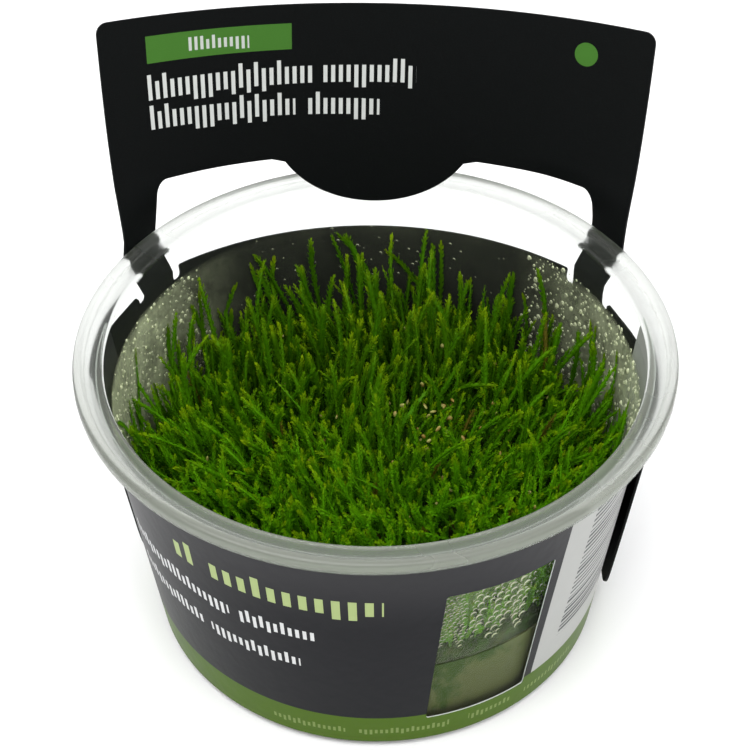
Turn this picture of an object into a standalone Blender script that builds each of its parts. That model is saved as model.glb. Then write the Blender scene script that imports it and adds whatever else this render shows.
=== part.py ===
"""A clump of moss growing on gel in an open clear cup.

A printed film label wraps the front of the cup. A black card clips over the rim at the back: its lower
panel hugs the wall, two legs pass outside the rim, and a round tongue dips inside it under the header.

Frame: metres, +Z up, the label's middle faces -Y. The origin is the centre of the cup's flat base.
All the driving dimensions below are in millimetres.
"""

import math
from typing import Callable, List, Sequence, Tuple

import bpy
import numpy as np
from mathutils import Vector
from mathutils.geometry import delaunay_2d_cdt

Point = Tuple[float, float]
Place = Callable[[float, float], Vector]

METRE = 0.001

# Cup: a tapered wall with a flat base and a flanged rim.
CUP_HEIGHT = 57.4
BASE_RADIUS = 40.2
WALL_SLOPE = 0.1145
WALL_THICKNESS = 1.0
COLLAR_THICKNESS = 0.7
COLLAR_FLOOR = 50.0
COLLAR_STEP = 0.5
FLOOR_THICKNESS = 1.0
BASE_FILLET = 1.2
BASE_CORNER = 0.8
RIM_RADIUS = 50.5
RIM_LEDGE = 56.4
RIM_LIP_RADIUS = 45.5
RIM_BEAD_INNER = 48.5
RIM_UNDERSIDE = 55.5
RIM_EDGE_ROUND = 0.4
CUP_SEGMENTS = 72

# Gel: a cast plug, a little clear of the cup.
FIT_GAP = 0.3
GEL_TOP = 22.0
GEL_MENISCUS = 0.5
GEL_SEGMENTS = 64

# Moss: one mound, from the gel to the tips of the shoots.
MOSS_WALL_GAP = 0.7
MOSS_MIDDLE_TOP = 41.0
MOSS_BACK_RISE = 5.0
MOSS_LUMP = 1.4
MOSS_RINGS = 8
MOSS_SEGMENTS = 48
MOSS_EDGE_DROP = 2.0

# Label: a strip of film around the front of the wall, with a die-cut window.
LABEL_HALF_ANGLE = 100.0
LABEL_BOTTOM = 1.5
LABEL_TOP = 53.6
LABEL_THICKNESS = 0.25
LABEL_CORNER = 1.0
WINDOW_CORNERS = ((11.1, 7.9), (36.8, 7.7), (38.7, 41.9), (13.7, 43.1))
WINDOW_CORNER_ROUND = 0.6
LABEL_STEP = 5.0
LABEL_ROWS = 7
LABEL_ROW_MARGIN = 1.0

# Card: header, two legs, tongue and a lower panel, all one sheet.
CARD_THICKNESS = 0.5
CARD_LEAN = 9.4
CARD_ROLL = 1.3
CARD_CENTRE = 44.4
CARD_CURVE = 61.0
CARD_CURVE_GROWTH = 1.1
HEADER_TOP = 35.1
HEADER_HALF_WIDTH = 49.7
HEADER_CORNER = 2.0
CARD_WINDOW_TOP = 6.0
CARD_WINDOW_HALF = 41.2
CARD_WINDOW_CORNER = 2.0
TONGUE_SHOULDER = 2.0
TONGUE_RADIUS = 20.0
TONGUE_TIP = -3.5
LEG_RADIUS = 51.15
LEG_FOOT_HEIGHT = 50.0
LEG_KNEE_HEIGHT = 54.8
HEADER_BLEND = 8.0
BLEND_FROM = 24.0
BLEND_TO = 38.0
PANEL_GAP = 0.6
PANEL_OVER_LABEL = 1.15
PANEL_FLARE = 1.9
FLARE_FROM = 68.0
FLARE_OVER = 78.0
PANEL_TOP = -8.1
PANEL_TOP_SAG = 3.1
PANEL_BOTTOM = -52.4
PANEL_RIGHT_END = 107.0
PANEL_LEFT_END = 98.0
PANEL_CORNER = 11.0
PANEL_RIGHT_TAPER = (2.5, 1.0)
PANEL_LEFT_TAPER = 3.0
CARD_MEASURE_REACH = 110.0
CARD_MEASURE_COUNT = 441

# Relief notches where the legs leave the panel: the leg's angle from the back, and the notch's
# width, depth, inner round and outer round.
LEG_OUTER_ANGLE = 62.5
OUTER_NOTCH = (2.2, 1.5, 1.0, 0.5)
LEG_INNER_ANGLE = 52.7
INNER_NOTCH = (2.4, 2.6, 1.1, 0.4)
CARD_STEP = 4.5
CARD_ROWS = (34.0, 27.0, 20.0, 14.0, 10.0, 7.5, 4.0, 1.5, -1.0, -2.6, -5.0, -7.4, -14.0, -33.0, -50.0)

# Sheets: how far bend points stay from a cut edge, and the step that a slope is taken over.
SHEET_EDGE_CLEARANCE = 0.35
SHEET_SLOPE_STEP = 0.01


def clear_scene() -> None:
    """Remove every object that is in the scene."""
    for item in list(bpy.data.objects):
        bpy.data.objects.remove(item, do_unlink=True)


def finish(name: str, colour: Sequence[float], roughness: float, transmission: float = 0.0) -> bpy.types.Material:
    """Make a non-metallic Principled material."""
    material = bpy.data.materials.new(name)
    material.use_nodes = True
    shader = material.node_tree.nodes["Principled BSDF"]
    shader.inputs["Base Color"].default_value = (*colour, 1.0)
    shader.inputs["Roughness"].default_value = roughness
    shader.inputs["Metallic"].default_value = 0.0
    shader.inputs["Transmission Weight"].default_value = transmission
    return material


def add_node(
    name: str,
    points: Sequence[Sequence[float]],
    faces: Sequence[Sequence[int]],
    material: bpy.types.Material,
    smooth_angle: float,
) -> bpy.types.Object:
    """Turn millimetre points and faces into one named object.

    Args:
        name: The node's name.
        points: Positions in millimetres.
        faces: Corner indices, anticlockwise from outside.
        material: The node's finish.
        smooth_angle: Edges flatter than this many degrees are shaded smooth.

    Returns:
        The new object.
    """
    mesh = bpy.data.meshes.new(name)
    mesh.from_pydata([tuple(METRE * value for value in point) for point in points], [], faces)
    mesh.materials.append(material)
    mesh.update()
    node = bpy.data.objects.new(name, mesh)
    bpy.context.scene.collection.objects.link(node)
    mesh.shade_smooth()
    mesh.set_sharp_from_angle(angle=math.radians(smooth_angle))
    return node


def lathe(profile: Sequence[Point], segments: int) -> Tuple[List[Tuple[float, float, float]], List[List[int]]]:
    """Spin an open profile whose two ends lie on the axis into a closed skin.

    Args:
        profile: (radius, height) from the bottom pole up the outside to the inner pole.
        segments: Facets around the axis.

    Returns:
        The points and the faces.
    """
    first, last = profile[0], profile[-1]
    rings = profile[1:-1]
    points = [
        (radius * math.sin(turn), -radius * math.cos(turn), height)
        for radius, height in rings
        for turn in (math.tau * index / segments for index in range(segments))
    ]
    low_pole = len(points)
    points += [(0.0, 0.0, first[1]), (0.0, 0.0, last[1])]
    high_pole = low_pole + 1
    top = (len(rings) - 1) * segments
    faces = []
    for index in range(segments):
        after = (index + 1) % segments
        faces.append([low_pole, after, index])
        for ring in range(len(rings) - 1):
            low = ring * segments
            high = low + segments
            faces.append([low + index, low + after, high + after, high + index])
        faces.append([top + index, top + after, high_pole])
    return points, faces


def wall_radius(height: float) -> float:
    """Outer radius of the cup's tapered wall."""
    return BASE_RADIUS + WALL_SLOPE * height


def inner_radius(height: float) -> float:
    """Inner radius of the wall below the collar."""
    return wall_radius(height) - WALL_THICKNESS


def fillet(corner: Point, before: Point, after: Point, radius: float, steps: int = 4) -> List[Point]:
    """Round one corner of a path.

    Args:
        corner: The sharp corner.
        before: The point that the path comes from.
        after: The point that the path goes to.
        radius: Radius of the round, cut down where an edge is too short for it.
        steps: Chords in the round.

    Returns:
        The points that replace the corner.
    """
    here, back, ahead = (np.array(item, float) for item in (corner, before, after))
    back_length = np.linalg.norm(back - here)
    ahead_length = np.linalg.norm(ahead - here)
    back = (back - here) / back_length
    ahead = (ahead - here) / ahead_length
    half = math.acos(max(-1.0, min(1.0, float(back @ ahead)))) / 2
    if radius == 0.0 or math.cos(half) < 0.02:
        return [corner]
    tangent = min(radius / math.tan(half), 0.45 * back_length, 0.45 * ahead_length)
    centre = here + (back + ahead) / np.linalg.norm(back + ahead) * tangent / math.cos(half)
    start = here + back * tangent - centre
    end = here + ahead * tangent - centre
    sweep = math.atan2(start[0] * end[1] - start[1] * end[0], float(start @ end))
    rounded = []
    for step in range(steps + 1):
        turn = sweep * step / steps
        cosine, sine = math.cos(turn), math.sin(turn)
        rounded.append(
            (
                float(centre[0] + cosine * start[0] - sine * start[1]),
                float(centre[1] + sine * start[0] + cosine * start[1]),
            )
        )
    return rounded


def rounded_loop(corners: Sequence[Tuple[float, float, float]]) -> List[Point]:
    """Round the corners of a closed loop, each given as (x, y, radius)."""
    loop: List[Point] = []
    for index, (x, y, radius) in enumerate(corners):
        before = corners[index - 1][:2]
        after = corners[(index + 1) % len(corners)][:2]
        loop += fillet((x, y), before, after, radius)
    return loop


def subdivided(loop: Sequence[Point], longest: float) -> List[Point]:
    """Split the long edges of a closed loop."""
    result: List[Point] = []
    for index, start in enumerate(loop):
        end = loop[(index + 1) % len(loop)]
        pieces = max(1, math.ceil(math.dist(start, end) / longest))
        result += [
            (start[0] + (end[0] - start[0]) * step / pieces, start[1] + (end[1] - start[1]) * step / pieces)
            for step in range(pieces)
        ]
    return result


def inside(point: Point, loop: Sequence[Point]) -> bool:
    """Whether a flat point lies within a closed loop."""
    x, y = point
    found = False
    for index, (x1, y1) in enumerate(loop):
        x2, y2 = loop[index - 1]
        if (y1 > y) != (y2 > y) and x < (x2 - x1) * (y - y1) / (y2 - y1) + x1:
            found = not found
    return found


def edge_distance(point: Point, loop: Sequence[Point]) -> float:
    """Distance from a flat point to the nearest point of a loop's edges."""
    here = np.array(point)
    starts = np.array(loop)
    along = np.roll(starts, -1, axis=0) - starts
    share = np.clip(((here - starts) * along).sum(axis=1) / (along**2).sum(axis=1), 0.0, 1.0)
    return float(np.linalg.norm(starts + along * share[:, None] - here, axis=1).min())


def thickened_sheet(
    outline: Sequence[Point], hole: Sequence[Point], grid: Sequence[Point], place: Place, thickness: float
) -> Tuple[List[Vector], List[List[int]]]:
    """Triangulate a flat blank, bend it, and give it thickness.

    Args:
        outline: Outer edge of the flat blank, anticlockwise.
        hole: Edge of the opening cut in it, anticlockwise.
        grid: Extra flat points that carry the bend.
        place: Takes a flat point to the sheet's middle surface.
        thickness: Thickness of the sheet.

    Returns:
        The points and the faces.
    """
    kept = [
        point
        for point in grid
        if inside(point, outline)
        and not inside(point, hole)
        and min(edge_distance(point, outline), edge_distance(point, hole)) > SHEET_EDGE_CLEARANCE
    ]
    flat = [Vector(point) for point in (*outline, *hole, *kept)]
    rim = len(outline)
    edges = [(index, (index + 1) % rim) for index in range(rim)]
    edges += [(rim + index, rim + (index + 1) % len(hole)) for index in range(len(hole))]
    points, _, faces, _, _, _ = delaunay_2d_cdt(flat, edges, [], 1, 1e-6)
    solid_faces = []
    for face in faces:
        middle = sum((points[corner] for corner in face), Vector((0.0, 0.0))) / len(face)
        if inside(tuple(middle), hole):
            continue
        turn = (points[face[1]] - points[face[0]]).cross(points[face[2]] - points[face[0]])
        solid_faces.append(list(face) if turn > 0 else list(reversed(face)))
    nudge = SHEET_SLOPE_STEP
    front, back = [], []
    for x, y in points:
        across = place(x + nudge, y) - place(x - nudge, y)
        up = place(x, y + nudge) - place(x, y - nudge)
        normal = across.cross(up).normalized()
        middle = place(x, y)
        front.append(middle + normal * thickness / 2)
        back.append(middle - normal * thickness / 2)
    count = len(points)
    skin = list(solid_faces)
    skin += [[corner + count for corner in reversed(face)] for face in solid_faces]
    used = {(face[i], face[(i + 1) % len(face)]) for face in solid_faces for i in range(len(face))}
    skin += [[b, a, a + count, b + count] for a, b in used if (b, a) not in used]
    return front + back, skin


def build_cup() -> bpy.types.Object:
    """The clear cup: flat base, tapered wall, collar, and a flanged rim with a raised bead."""
    collar_top = wall_radius(RIM_UNDERSIDE)
    profile = [
        (0.0, 0.0),
        (BASE_RADIUS - BASE_FILLET, 0.0),
        (BASE_RADIUS - 0.3 * BASE_FILLET, 0.25 * BASE_FILLET),
        (wall_radius(BASE_FILLET), BASE_FILLET),
        (wall_radius(COLLAR_FLOOR), COLLAR_FLOOR),
        (collar_top, RIM_UNDERSIDE),
        (RIM_RADIUS - RIM_EDGE_ROUND, RIM_UNDERSIDE),
        (RIM_RADIUS, RIM_UNDERSIDE + RIM_EDGE_ROUND),
        (RIM_RADIUS, CUP_HEIGHT - 1.5 * RIM_EDGE_ROUND),
        (RIM_RADIUS - 0.4 * RIM_EDGE_ROUND, CUP_HEIGHT - 0.5 * RIM_EDGE_ROUND),
        (RIM_RADIUS - 1.5 * RIM_EDGE_ROUND, CUP_HEIGHT),
        (RIM_BEAD_INNER + RIM_EDGE_ROUND, CUP_HEIGHT),
        (RIM_BEAD_INNER, RIM_LEDGE),
        (RIM_LIP_RADIUS + RIM_EDGE_ROUND, RIM_LEDGE),
        (RIM_LIP_RADIUS, RIM_LEDGE - RIM_EDGE_ROUND),
        (wall_radius(COLLAR_FLOOR) - COLLAR_THICKNESS, COLLAR_FLOOR),
        (inner_radius(COLLAR_FLOOR - COLLAR_STEP), COLLAR_FLOOR - COLLAR_STEP),
        (inner_radius(FLOOR_THICKNESS + BASE_CORNER), FLOOR_THICKNESS + BASE_CORNER),
        (inner_radius(FLOOR_THICKNESS) - 0.3 * BASE_CORNER, FLOOR_THICKNESS + 0.2 * BASE_CORNER),
        (inner_radius(FLOOR_THICKNESS) - BASE_CORNER, FLOOR_THICKNESS),
        (0.0, FLOOR_THICKNESS),
    ]
    points, faces = lathe(profile, CUP_SEGMENTS)
    clear_plastic = finish("clear_plastic", (0.93, 0.95, 0.93), 0.06, 0.9)
    return add_node("cup", points, faces, clear_plastic, 35.0)


def build_gel() -> bpy.types.Object:
    """The cast gel: it follows the cup's floor and wall, with a low meniscus at its edge."""
    floor = FLOOR_THICKNESS + FIT_GAP
    profile = [
        (0.0, floor),
        (inner_radius(floor) - FIT_GAP - BASE_CORNER, floor),
        (inner_radius(floor) - FIT_GAP, floor + BASE_CORNER),
        (inner_radius(GEL_TOP) - FIT_GAP, GEL_TOP),
        (inner_radius(GEL_TOP) - FIT_GAP - 2 * GEL_MENISCUS, GEL_TOP - GEL_MENISCUS),
        (0.0, GEL_TOP - GEL_MENISCUS),
    ]
    points, faces = lathe(profile, GEL_SEGMENTS)
    gel = finish("clouded_gel", (0.42, 0.44, 0.30), 0.25)
    return add_node("nutrient_gel", points, faces, gel, 35.0)


def moss_top(share: float, turn: float) -> float:
    """Height of the moss's upper surface.

    Args:
        share: How far out from the axis, as a share of the mound's radius.
        turn: Angle round the axis, in radians, from the front.

    Returns:
        The height in millimetres.
    """
    back_rise = -MOSS_BACK_RISE * share * math.cos(turn)
    lumps = math.sin(5.0 * turn + 7.0 * share) + math.cos(9.0 * turn - 11.0 * share)
    edge = MOSS_EDGE_DROP * share**6
    return MOSS_MIDDLE_TOP + back_rise + MOSS_LUMP * share * lumps - edge


def build_moss() -> bpy.types.Object:
    """The moss clump, as one mound that reaches the tips of its shoots."""
    floor = GEL_TOP + FIT_GAP
    foot_radius = inner_radius(floor) - MOSS_WALL_GAP
    points = [(0.0, 0.0, floor)]
    turns = [math.tau * index / MOSS_SEGMENTS for index in range(MOSS_SEGMENTS)]
    points += [(foot_radius * math.sin(turn), -foot_radius * math.cos(turn), floor) for turn in turns]
    for ring in range(MOSS_RINGS, 0, -1):
        share = ring / MOSS_RINGS
        for turn in turns:
            height = moss_top(share, turn)
            radius = share * (inner_radius(height) - MOSS_WALL_GAP)
            points.append((radius * math.sin(turn), -radius * math.cos(turn), height))
    points.append((0.0, 0.0, moss_top(0.0, 0.0)))
    faces = []
    for index in range(MOSS_SEGMENTS):
        after = (index + 1) % MOSS_SEGMENTS
        faces.append([0, 1 + after, 1 + index])
        for ring in range(MOSS_RINGS):
            low = 1 + ring * MOSS_SEGMENTS
            high = low + MOSS_SEGMENTS
            faces.append([low + index, low + after, high + after])
            faces.append([low + index, high + after, high + index])
        top = 1 + MOSS_RINGS * MOSS_SEGMENTS
        faces.append([top + index, top + after, len(points) - 1])
    moss = finish("moss_green", (0.10, 0.24, 0.02), 0.7)
    return add_node("moss_clump", points, faces, moss, 60.0)


def label_place(arc: float, height: float) -> Vector:
    """Middle of the label film, from an angle in degrees to the right of the front and a height."""
    radius = wall_radius(height) + FIT_GAP + LABEL_THICKNESS / 2
    turn = math.radians(arc)
    return Vector((radius * math.sin(turn), -radius * math.cos(turn), height))


def build_label() -> bpy.types.Object:
    """The printed film label, a strip around the front with a window cut through it."""
    wide, low, high = LABEL_HALF_ANGLE, LABEL_BOTTOM, LABEL_TOP
    outline = rounded_loop(
        (
            (-wide, low, LABEL_CORNER),
            (wide, low, LABEL_CORNER),
            (wide, high, LABEL_CORNER),
            (-wide, high, LABEL_CORNER),
        )
    )
    window = rounded_loop([(arc, height, WINDOW_CORNER_ROUND) for arc, height in WINDOW_CORNERS])
    outline = subdivided(outline, LABEL_STEP)
    window = subdivided(window, LABEL_STEP)
    columns = np.arange(-wide + LABEL_STEP, wide, LABEL_STEP)
    rows = np.linspace(low + LABEL_ROW_MARGIN, high - LABEL_ROW_MARGIN, LABEL_ROWS)
    grid = [(float(column), float(row)) for column in columns for row in rows]
    points, faces = thickened_sheet(outline, window, grid, label_place, LABEL_THICKNESS)
    film = finish("label_film", (0.045, 0.048, 0.055), 0.2)
    return add_node("wrap_label", points, faces, film, 35.0)


def smooth_share(value: float, low: float, high: float) -> float:
    """Ease from 0 at low to 1 at high."""
    share = max(0.0, min(1.0, (value - low) / (high - low)))
    return share * share * (3.0 - 2.0 * share)


def header_place(across: float, up: float) -> Vector:
    """The header's own curve: a cylinder that leans back and opens out towards its top."""
    lean = math.radians(CARD_LEAN)
    curve = CARD_CURVE + CARD_CURVE_GROWTH * up
    sag = curve * (1.0 - math.cos(across / curve))
    return Vector(
        (
            curve * math.sin(across / curve),
            CARD_CENTRE + up * math.sin(lean) - sag * math.cos(lean),
            CUP_HEIGHT + up * math.cos(lean) + sag * math.sin(lean),
        )
    )


def back_angle(across: float) -> float:
    """Angle in radians from the back, at the rim's height, of a flat distance across the card."""
    at_rim = header_place(across, 0.0)
    return math.atan2(at_rim.x, at_rim.y)


def across_at(degrees: float) -> float:
    """Flat distance across the card that lands at an angle from the back."""
    distances = np.linspace(0.0, CARD_MEASURE_REACH, CARD_MEASURE_COUNT)
    angles = [math.degrees(back_angle(float(distance))) for distance in distances]
    return float(np.interp(degrees, angles, distances))


def wrap_radius(across: float, height: float) -> float:
    """Radius of the card's middle surface where it goes round the cup.

    Args:
        across: Flat distance from the card's middle, which decides where the panel lies on the label.
        height: Height above the base.

    Returns:
        The radius in millimetres.
    """
    degrees = abs(math.degrees(back_angle(across)))
    offset = PANEL_GAP + (PANEL_OVER_LABEL - PANEL_GAP) * smooth_share(degrees, FLARE_FROM, FLARE_OVER)
    if across > 0:
        offset += (PANEL_FLARE - PANEL_OVER_LABEL) * smooth_share(degrees, FLARE_OVER, PANEL_RIGHT_END)
    against_wall = wall_radius(min(height, LEG_FOOT_HEIGHT)) + offset
    bend = max(0.0, min(1.0, (height - LEG_FOOT_HEIGHT) / (LEG_KNEE_HEIGHT - LEG_FOOT_HEIGHT)))
    return against_wall + (LEG_RADIUS - against_wall) * bend


def card_place(flat_x: float, flat_y: float) -> Vector:
    """Middle of the card from its flat blank, where 0, 0 is the card's middle at the rim's top."""
    roll = math.radians(CARD_ROLL)
    across = math.cos(roll) * flat_x + math.sin(roll) * flat_y
    up = math.cos(roll) * flat_y - math.sin(roll) * flat_x
    header = header_place(across, up)
    sideways = smooth_share(abs(across), BLEND_FROM, BLEND_TO)
    wrapped = (1.0 - smooth_share(up, 0.0, HEADER_BLEND)) * sideways
    if up < (PANEL_TOP + TONGUE_TIP) / 2:
        wrapped = 1.0
    if wrapped == 0.0:
        return header
    height = CUP_HEIGHT + up
    radius = wrap_radius(across, height)
    angle = back_angle(across)
    around = Vector((radius * math.sin(angle), radius * math.cos(angle), height))
    return header.lerp(around, wrapped)


def card_outline() -> List[Point]:
    """Outer edge of the flat card: header, outer leg edges with relief notches, and the panel's ends."""
    leg = HEADER_HALF_WIDTH
    foot = across_at(LEG_OUTER_ANGLE)
    notch, depth, inner_round, outer_round = OUTER_NOTCH
    low_taper, high_taper = PANEL_RIGHT_TAPER
    right = across_at(PANEL_RIGHT_END)
    left = -across_at(PANEL_LEFT_END)
    top, bottom = PANEL_TOP, PANEL_BOTTOM
    relief = top - depth
    corners = [
        (right - low_taper, bottom, PANEL_CORNER),
        (right, (top + bottom) / 2, PANEL_CORNER),
        (right - high_taper, top, PANEL_CORNER / 2),
        (foot + notch, top, outer_round),
        (foot + notch, relief, inner_round),
        (foot, relief, inner_round),
        (leg, 0.0, 0.0),
        (leg, HEADER_TOP, HEADER_CORNER),
        (-leg, HEADER_TOP, HEADER_CORNER),
        (-leg, 0.0, 0.0),
        (-foot, relief, inner_round),
        (-foot - notch, relief, inner_round),
        (-foot - notch, top, outer_round),
        (left, top, PANEL_CORNER / 2),
        (left + PANEL_LEFT_TAPER, bottom, PANEL_CORNER),
    ]
    return rounded_loop(corners)


def card_window() -> List[Point]:
    """Edge of the window that the rim passes through, with the tongue hanging into its top."""
    half = CARD_WINDOW_HALF
    foot = across_at(LEG_INNER_ANGLE)
    notch, depth, inner_round, outer_round = INNER_NOTCH
    relief = PANEL_TOP - depth
    band = [
        (share * (foot - notch), PANEL_TOP - PANEL_TOP_SAG * (1.0 - share * share))
        for share in (step / 10 for step in range(-9, 10))
    ]
    centre = TONGUE_TIP + TONGUE_RADIUS
    root = math.acos((centre - CARD_WINDOW_TOP) / TONGUE_RADIUS)
    tongue = [
        (TONGUE_RADIUS * math.sin(turn), centre - TONGUE_RADIUS * math.cos(turn))
        for turn in (root * step / 12 for step in range(12, -13, -1))
    ]
    corners = [(x, y, 0.0) for x, y in band]
    corners += [
        (foot - notch, PANEL_TOP, outer_round),
        (foot - notch, relief, inner_round),
        (foot, relief, inner_round),
        (half, 0.0, 0.0),
        (half, CARD_WINDOW_TOP, CARD_WINDOW_CORNER),
        (tongue[0][0] + TONGUE_SHOULDER, CARD_WINDOW_TOP, 0.0),
    ]
    corners += [(x, y, 0.0) for x, y in tongue[1:-1]]
    corners += [
        (tongue[-1][0] - TONGUE_SHOULDER, CARD_WINDOW_TOP, 0.0),
        (-half, CARD_WINDOW_TOP, CARD_WINDOW_CORNER),
        (-half, 0.0, 0.0),
        (-foot, relief, inner_round),
        (-foot + notch, relief, inner_round),
        (-foot + notch, PANEL_TOP, outer_round),
    ]
    return rounded_loop(corners)


def build_card() -> bpy.types.Object:
    """The black card that clips over the back of the rim."""
    outline = subdivided(card_outline(), CARD_STEP)
    window = subdivided(card_window(), CARD_STEP)
    reach = across_at(PANEL_RIGHT_END)
    columns = np.arange(-reach, reach, CARD_STEP)
    grid = [(float(column), row) for column in columns for row in CARD_ROWS]
    points, faces = thickened_sheet(outline, window, grid, card_place, CARD_THICKNESS)
    black_card = finish("black_card", (0.012, 0.014, 0.014), 0.6)
    return add_node("hang_card", points, faces, black_card, 35.0)


def main() -> None:
    """Build the five pieces."""
    clear_scene()
    build_cup()
    build_gel()
    build_moss()
    build_label()
    build_card()


main()
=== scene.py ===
"""Looks of a moss clump grown on gel in an open clear cup, with a printed film label and a black card."""

import logging
import math
from dataclasses import dataclass, field
from enum import Enum
from typing import Any, Callable, Dict, List, Mapping, Optional, Sequence, Tuple, Union

import bpy
import numpy as np
from mathutils import Matrix, Vector
from mathutils.geometry import delaunay_2d_cdt

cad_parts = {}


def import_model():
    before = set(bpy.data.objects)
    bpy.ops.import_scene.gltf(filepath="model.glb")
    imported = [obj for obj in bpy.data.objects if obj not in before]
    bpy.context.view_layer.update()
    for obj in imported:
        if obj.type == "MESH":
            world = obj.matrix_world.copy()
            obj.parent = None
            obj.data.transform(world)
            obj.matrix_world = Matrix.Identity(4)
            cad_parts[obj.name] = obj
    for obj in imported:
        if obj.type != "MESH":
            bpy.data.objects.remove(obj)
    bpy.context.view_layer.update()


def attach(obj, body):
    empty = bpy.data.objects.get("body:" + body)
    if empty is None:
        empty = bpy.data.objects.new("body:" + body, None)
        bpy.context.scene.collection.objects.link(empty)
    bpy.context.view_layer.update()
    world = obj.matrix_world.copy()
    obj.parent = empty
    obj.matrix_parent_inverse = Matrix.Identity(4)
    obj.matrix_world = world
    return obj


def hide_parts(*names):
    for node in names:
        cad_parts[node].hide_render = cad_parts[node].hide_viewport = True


LOG = logging.getLogger("moss_clump")

Colour = Tuple[float, float, float]
Point = Tuple[float, float]
Span = Tuple[float, float]
Corner = Tuple[float, float, float]
Array = np.ndarray

METRE = 0.001
TINY = 1e-9
BODY = "root"


def to_linear(red: int, green: int, blue: int) -> Colour:
    """Linear colour of an 8-bit display colour."""
    shares = (red / 255.0, green / 255.0, blue / 255.0)
    return tuple(share / 12.92 if share <= 0.04045 else ((share + 0.055) / 1.055) ** 2.4 for share in shares)


# ---------------------------------------------------------------------------
# Shader maths
# ---------------------------------------------------------------------------


class Wire:
    """An output socket that can be used in sums, which add Math nodes."""

    def __init__(self, graph: "Graph", socket: bpy.types.NodeSocket) -> None:
        """Keep the graph that the socket belongs to."""
        self.graph = graph
        self.socket = socket

    def _maths(self, operation: str, *values: "Value") -> "Wire":
        """Add one Math node."""
        return self.graph.node("ShaderNodeMath", {"operation": operation}, dict(enumerate(values)))

    def __add__(self, other: "Value") -> "Wire":
        """Sum."""
        return self._maths("ADD", self, other)

    __radd__ = __add__

    def __sub__(self, other: "Value") -> "Wire":
        """Difference."""
        return self._maths("SUBTRACT", self, other)

    def __rsub__(self, other: "Value") -> "Wire":
        """Difference, the other way round."""
        return self._maths("SUBTRACT", other, self)

    def __mul__(self, other: "Value") -> "Wire":
        """Product."""
        return self._maths("MULTIPLY", self, other)

    __rmul__ = __mul__

    def __pow__(self, other: "Value") -> "Wire":
        """Power."""
        return self._maths("POWER", self, other)

    def __gt__(self, other: "Value") -> "Wire":
        """1 where this is greater."""
        return self._maths("GREATER_THAN", self, other)

    def __lt__(self, other: "Value") -> "Wire":
        """1 where this is less."""
        return self._maths("LESS_THAN", self, other)

    def __abs__(self) -> "Wire":
        """Size without its sign."""
        return self._maths("ABSOLUTE", self)

    def fraction(self) -> "Wire":
        """What is left over a whole number."""
        return self._maths("FRACT", self)

    def floor(self) -> "Wire":
        """Whole number below."""
        return self._maths("FLOOR", self)

    def smaller(self, other: "Value") -> "Wire":
        """The smaller of two."""
        return self._maths("MINIMUM", self, other)

    def eased(self, low: float, high: float) -> "Wire":
        """Ease from 0 to 1.

        Args:
            low: Where it starts to rise.
            high: Where it is full.

        Returns:
            The eased share.
        """
        return self.graph.node(
            "ShaderNodeMapRange",
            {"interpolation_type": "SMOOTHSTEP"},
            {"Value": self, "From Min": low, "From Max": high, "To Min": 0.0, "To Max": 1.0},
        )

    def between(self, low: "Value", high: "Value") -> "Wire":
        """1 between two limits."""
        return (self > low) * (self < high)


Value = Union[Wire, float]


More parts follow.
